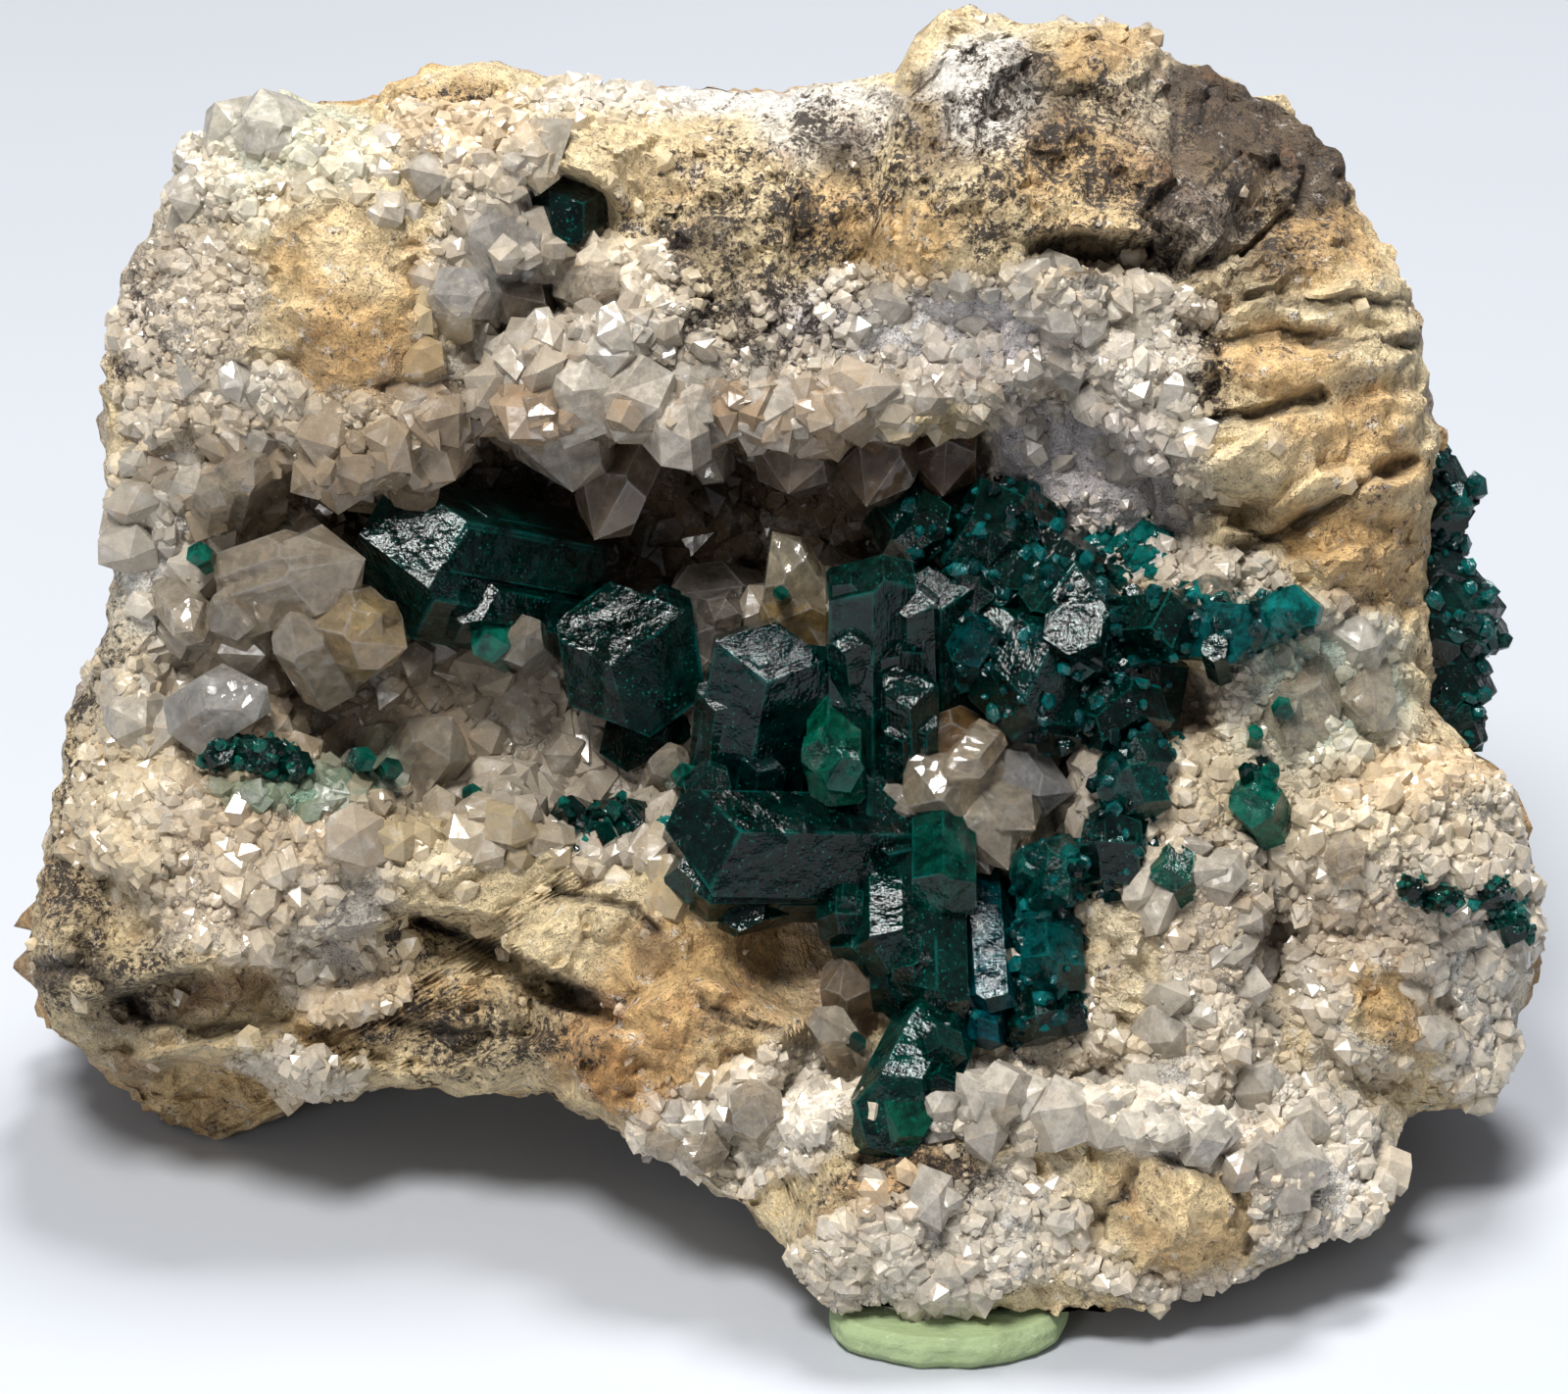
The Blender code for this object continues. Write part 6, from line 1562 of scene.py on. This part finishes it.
def stone_material(options):
    """Limestone and sugary quartz: tint, mottling, specks, stains and cracks."""
    made, tree, shader, place = new_material("stone")
    quartz = attribute(tree, "quartz")
    broad = noise(tree, place, 420, 5)
    mottle = noise(tree, place, 1500, 4, 0.7)
    fine = noise(tree, place, 5200, 3, 0.7)
    tint = tinted(tree, options.stone_tint)
    colour = shaded(tree, tint, spread(tree, mottle, 0.3, 0.68, 0.62, 1.16))
    rust = maths(tree, "MULTIPLY", spread(tree, broad, 0.52, 0.7, 0.0, 0.45),
                 maths(tree, "SUBTRACT", 1.0, quartz))
    colour = blend(tree, rust, colour, painted(RUST))
    pale = spread(tree, noise(tree, place, 900, 4, 0.75), 0.56, 0.68, 0.0, 0.55)
    colour = blend(tree, pale, colour, painted(WHITE))
    grit = noise(tree, place, 3000, 3, 0.8)
    clump = noise(tree, place, 430, 6, 0.72)
    limit = maths(tree, "ADD", maths(tree, "MULTIPLY", grit, 0.55),
                  maths(tree, "MULTIPLY", clump, 0.45))
    limit = maths(tree, "ADD", limit, maths(tree, "MULTIPLY", attribute(tree, "specks"), 0.12))
    brown = spread(tree, limit, 0.56, 0.64, 0.0, 0.6)
    colour = blend(tree, brown, colour, painted(BROWN))
    dark = spread(tree, limit, 0.625, 0.65, 0.0, 0.93)
    colour = blend(tree, dark, colour, painted(CHARCOAL))
    crack = maths(tree, "MULTIPLY", attribute(tree, "crack"), 0.7)
    colour = blend(tree, crack, colour, painted(CHARCOAL))
    tree.links.new(colour, shader.inputs["Base Color"])
    gloss = maths(tree, "MULTIPLY", quartz, -0.42)
    gloss = maths(tree, "ADD", spread(tree, fine, 0.3, 0.7, 0.62, 0.95), gloss)
    tree.links.new(gloss, shader.inputs["Roughness"])
    normal = bump(tree, cells(tree, place, 2400), 0.0003, 0.6)
    normal = bump(tree, mottle, 0.0006, 0.9, normal)
    normal = bump(tree, fine, 0.00024, 0.9, normal)
    tree.links.new(normal, shader.inputs["Normal"])
    return made


def quartz_material(name, options, clear, chipped):
    """Quartz: clear is the light it lets through, chipped how rough it looks.

    Clouds, veils and stains by noise lie over the crystal's own tint, its edges
    are pale, and dull faces go with milky quartz.
    """
    made, tree, shader, place = new_material(name)
    veil = noise(tree, place, 700, 5, 0.65)
    fine = noise(tree, place, 3600, 3, 0.6)
    cloud = noise(tree, place, 1300, 4, 0.75)
    shade = spread(tree, cloud, 0.4, 0.6, 1.02 - 0.4 * chipped, 1.08)
    tint = shaded(tree, tinted(tree, options.quartz_tint), shade)
    milk = spread(tree, veil, 0.52, 0.7, 0.0, 0.3)
    milk = maths(tree, "MAXIMUM", milk, maths(tree, "MULTIPLY", attribute(tree, "glow"), 0.8))
    colour = blend(tree, milk, tint, painted(QUARTZ_VEIL))
    stain = spread(tree, noise(tree, place, 620, 4, 0.75), 0.56, 0.68, 0.0, 0.36)
    colour = blend(tree, stain, colour, painted(QUARTZ_STAIN))
    tree.links.new(colour, shader.inputs["Base Color"])
    dull = 0.2 * (1 - clear)
    tree.links.new(spread(tree, fine, 0.42, 0.66, 0.02 + dull, 0.14 + dull),
                   shader.inputs["Roughness"])
    shader.inputs["IOR"].default_value = QUARTZ_IOR
    shader.inputs["Transmission Weight"].default_value = clear
    banded = stretched(tree, attribute(tree, "own", "Vector"), (0.5, 0.5, 4.0))
    normal = bump(tree, noise(tree, banded, 1.0, 3), 0.00003, 0.4)
    normal = bump(tree, cells(tree, place, 1300), 0.00014, 0.6 * chipped, normal)
    tree.links.new(bump(tree, fine, 0.00002, 0.3, normal), shader.inputs["Normal"])
    return made


def dioptase_material(options):
    """Dark teal dioptase: clear where thin, near black where thick.

    Noise mottles its inside; small round dots and flakes are painted glints, and its edges carry
    a painted glow of light through thin corners;
    fine lines run along each crystal's own axis.
    """
    made, tree, shader, place = new_material("dioptase")
    veil = noise(tree, place, 650, 4, 0.6)
    fine = noise(tree, place, 3000, 3, 0.6)
    shade = spread(tree, noise(tree, place, 1100, 5, 0.7), 0.36, 0.66, 0.3, 1.7)
    tint = shaded(tree, tinted(tree, options.dioptase_tint), shade)
    # Painted glow of light through the thin edges and corners, broken up by noise.
    edge_glow_share = spread(tree, veil, 0.42, 0.6, 0.02, 0.45)
    edge = maths(tree, "MULTIPLY", attribute(tree, "glow"), edge_glow_share)
    # Painted glints: small round dots and flakes, sparkles of inner fractures.
    dotted = spread(tree, noise(tree, place, 800, 4), 0.44, 0.55, 0.0, 1.0)
    dots = spread(tree, cells(tree, place, 3300), 0.10, 0.22, 1.0, 0.0)
    dots = maths(tree, "MULTIPLY", dots, dotted)
    flakes = spread(tree, noise(tree, place, 5200, 3, 0.7), 0.6, 0.68, 0.0, 1.0)
    flakes = maths(tree, "MULTIPLY", flakes, spread(tree, veil, 0.48, 0.62, 0.0, 0.8))
    edge = maths(tree, "MAXIMUM", edge, maths(tree, "MAXIMUM", dots, flakes))
    colour = blend(tree, edge, tint, tuple(options.dioptase_edge) + (1,))
    tree.links.new(colour, shader.inputs["Base Color"])
    tree.links.new(spread(tree, fine, 0.42, 0.68, 0.02, 0.1), shader.inputs["Roughness"])
    shader.inputs["IOR"].default_value = DIOPTASE_IOR
    shader.inputs["Specular IOR Level"].default_value = DIOPTASE_SPECULAR
    shader.inputs["Transmission Weight"].default_value = DIOPTASE_CLEAR
    grown = stretched(tree, attribute(tree, "own", "Vector"), (7.0, 1.6, 0.3))
    normal = bump(tree, noise(tree, grown, 1.0, 3, 0.65), 0.00004, 0.9)
    normal = bump(tree, cells(tree, place, 900), 0.00016, 0.5, normal)
    normal = bump(tree, veil, 0.0003, 0.6, normal)
    tree.links.new(bump(tree, fine, 0.00001, 0.3, normal), shader.inputs["Normal"])
    inside = node(tree, "ShaderNodeVolumeAbsorption", {
        "Color": DIOPTASE_ABSORPTION, "Density": DIOPTASE_DENSITY})
    tree.links.new(inside.outputs["Volume"], tree.nodes["Material Output"].inputs["Volume"])
    return made


def putty_material(options):
    """Matte pale green clay with faint fibres and thumbed dents."""
    made, tree, shader, place = new_material("putty")
    mottle = noise(tree, place, 500, 5)
    drawn = stretched(tree, place, (900, 5200, 2600), (0.2, 0.1, 0.35))
    fibre = noise(tree, drawn, 1.0, 3)
    base = tuple(options.putty_tint) + (1,)
    pale = spread(tree, mottle, 0.35, 0.7, 0.0, 0.5)
    colour = blend(tree, pale, base, painted(PUTTY_LIGHT))
    strand = spread(tree, fibre, 0.58, 0.72, 0.0, 0.4)
    colour = blend(tree, strand, colour, painted(PUTTY_FIBRE))
    tree.links.new(colour, shader.inputs["Base Color"])
    shader.inputs["Roughness"].default_value = 0.78
    normal = bump(tree, fibre, 0.00012, 0.5)
    tree.links.new(bump(tree, mottle, 0.0005, 0.6, normal), shader.inputs["Normal"])
    return made


class SpecimenSettings(bpy.types.PropertyGroup):
    """Sizes and colours that a user can change before building a piece."""

    relief: FloatProperty(
        name="Relief", description="Height of the fine lumps and facets, as a share",
        default=1.0, min=0.0, max=2.0, subtype="FACTOR")
    crack_depth: FloatProperty(
        name="Crack depth", description="Depth of the cracks, as a share",
        default=1.0, min=0.0, max=2.0, subtype="FACTOR")
    druse_size: FloatProperty(
        name="Druse crystal", description="Widest small crystal in the hollow",
        default=0.0024, min=0.0008, max=0.004, unit="LENGTH", precision=4)
    sugar_size: FloatProperty(
        name="Sugar crystal", description="Widest grain of the sugary quartz",
        default=0.00125, min=0.0004, max=0.003, unit="LENGTH", precision=4)
    stone_tint: FloatVectorProperty(
        name="Stone", description="Tint laid over the stone's own colours",
        default=(1.0, 1.0, 1.0), min=0, max=1, subtype="COLOR")
    quartz_tint: FloatVectorProperty(
        name="Quartz", description="Tint laid over the quartz's own colours",
        default=(1.0, 0.985, 0.96), min=0, max=1, subtype="COLOR")
    dioptase_tint: FloatVectorProperty(
        name="Dioptase", description="Tint laid over the dioptase's own colour",
        default=(1.0, 1.0, 1.0), min=0, max=1, subtype="COLOR")
    # The colour of the painted glow on edges and of the painted glints
    dioptase_edge: FloatVectorProperty(
        name="Dioptase edges", description="Colour of thin edges and corners",
        default=(0.006, 0.26, 0.22), min=0, max=1, subtype="COLOR")
    putty_tint: FloatVectorProperty(
        name="Putty", description="Colour of the putty pad",
        default=(0.33, 0.42, 0.22), min=0, max=1, subtype="COLOR")
    floor_tint: FloatVectorProperty(
        name="Floor", description="Colour of the floor under the specimen",
        default=(0.42, 0.44, 0.475), min=0, max=1, subtype="COLOR")


class SPECIMEN_OT_stone(bpy.types.Operator):
    """Build the limestone and quartz matrix"""

    bl_idname = "specimen.stone"
    bl_label = "Stone"

    def execute(self, context):
        options = context.scene.specimen
        settle(build_stone(options), "matrix", stone_material(options), "matrix")
        return {"FINISHED"}


class SPECIMEN_OT_druse(bpy.types.Operator):
    """Build the small quartz crystals that line the hollow and cover the face"""

    bl_idname = "specimen.druse"
    bl_label = "Quartz druse"

    def execute(self, context):
        options = context.scene.specimen
        shell = quartz_material("quartz_druse", options, *DRUSE_FINISH)
        sugar = quartz_material("quartz_sugar", options, *SUGAR_FINISH)
        wide = options.druse_size / MM / 2
        hollow = build_stubs("druse_hollow", options, hollow_weight, HOLLOW_COUNT,
                             (HOLLOW_LEAST, wide), druse_tint, 101, 0.4, 0.3)
        settle(hollow, "druse", shell, "quartz_druse")
        lumps = build_stubs("quartz_lumps", options, lump_weight, LUMP_COUNT,
                            LUMP_RADIUS, lump_tint, 171, 0.35, 0.5)
        settle(lumps, "druse", quartz_material("quartz_lumps", options, *LUMP_FINISH))
        grain = options.sugar_size / MM / 2
        for name, low, high, count, seed in SUGAR_BANDS:
            def weigh(a, b, low=low, high=high):
                return sugar_weight(a, b) * (a >= low) * (a < high)
            piece = build_stubs(name, options, weigh, count, (SUGAR_LEAST, grain),
                                sugar_tint, seed, 0.35, 0.2)
            settle(piece, "druse", sugar)
        return {"FINISHED"}


class SPECIMEN_OT_points(bpy.types.Operator):
    """Build the large clear quartz points"""

    bl_idname = "specimen.points"
    bl_label = "Quartz points"

    def execute(self, context):
        options = context.scene.specimen
        glass = quartz_material("quartz_clear", options, *POINT_FINISH)
        piece = build_prisms("quartz_points", QUARTZ, QUARTZ_HABIT, CLEAR_QUARTZ, 211,
                             QUARTZ_TINTS)
        settle(piece, "druse", glass)
        return {"FINISHED"}


class SPECIMEN_OT_dioptase(bpy.types.Operator):
    """Build the dioptase crystals, each group as one piece"""

    bl_idname = "specimen.dioptase"
    bl_label = "Dioptase"

    def execute(self, context):
        options = context.scene.specimen
        teal = dioptase_material(options)
        for k, (group, specs) in enumerate(DIOPTASE.items()):
            name = group.replace("dioptase_", "crystals_")
            piece = build_prisms(name, specs, DIOPTASE_HABIT, DIOPTASE_DARK, 300 + 40 * k,
                                 DIOPTASE_TINTS, DIOPTASE_CRUST.get(group))
            settle(piece, "dioptase", teal, group)
        grains = build_stubs("crystals_grains", options, grain_weight, GRAIN_COUNT,
                             GRAIN_RADIUS, grain_tint, 131, 0.7, 0.35)
        glow = grains.data.attributes.new("glow", "FLOAT", "POINT")
        lit = np.full(len(grains.data.vertices), GRAIN_GLOW, np.float32)
        glow.data.foreach_set("value", lit)
        settle(grains, "dioptase", teal)
        strays = build_prisms("crystals_stray", STRAY_DIOPTASE, STRAY_HABIT, DIOPTASE_STRAY, 701)
        settle(strays, "dioptase", teal)
        return {"FINISHED"}


class SPECIMEN_OT_putty(bpy.types.Operator):
    """Build the putty pad under the front foot"""

    bl_idname = "specimen.putty"
    bl_label = "Putty pad"

    def execute(self, context):
        options = context.scene.specimen
        settle(build_putty(options), "putty", putty_material(options), "putty_pad")
        return {"FINISHED"}


class SPECIMEN_OT_stage(bpy.types.Operator):
    """Build the floor, the studio light and the camera"""

    bl_idname = "specimen.stage"
    bl_label = "Stage"

    def execute(self, context):
        build_floor(context.scene, context.scene.specimen)
        build_lights(context.scene)
        build_camera(context.scene)
        return {"FINISHED"}


class SPECIMEN_PT_panel(bpy.types.Panel):
    """Sizes, colours and a button for each piece"""

    bl_label = "Specimen"
    bl_idname = "SPECIMEN_PT_panel"
    bl_space_type = "VIEW_3D"
    bl_region_type = "UI"
    bl_category = "Specimen"

    def draw(self, context):
        for name in SpecimenSettings.__annotations__:
            self.layout.prop(context.scene.specimen, name)
        for operator in OPERATORS:
            self.layout.operator(operator.bl_idname)


OPERATORS = (
    SPECIMEN_OT_stone, SPECIMEN_OT_druse, SPECIMEN_OT_points,
    SPECIMEN_OT_dioptase, SPECIMEN_OT_putty, SPECIMEN_OT_stage,
)
CLASSES = (SpecimenSettings, *OPERATORS, SPECIMEN_PT_panel)


def register():
    for kind in CLASSES:
        bpy.utils.register_class(kind)
    bpy.types.Scene.specimen = bpy.props.PointerProperty(type=SpecimenSettings)


def unregister():
    del bpy.types.Scene.specimen
    for kind in reversed(CLASSES):
        bpy.utils.unregister_class(kind)


def main():
    """Builds every piece in order."""
    register()
    bpy.ops.specimen.stone()
    bpy.ops.specimen.druse()
    bpy.ops.specimen.points()
    bpy.ops.specimen.dioptase()
    bpy.ops.specimen.putty()
    bpy.ops.specimen.stage()


if __name__ == "__main__":
    main()
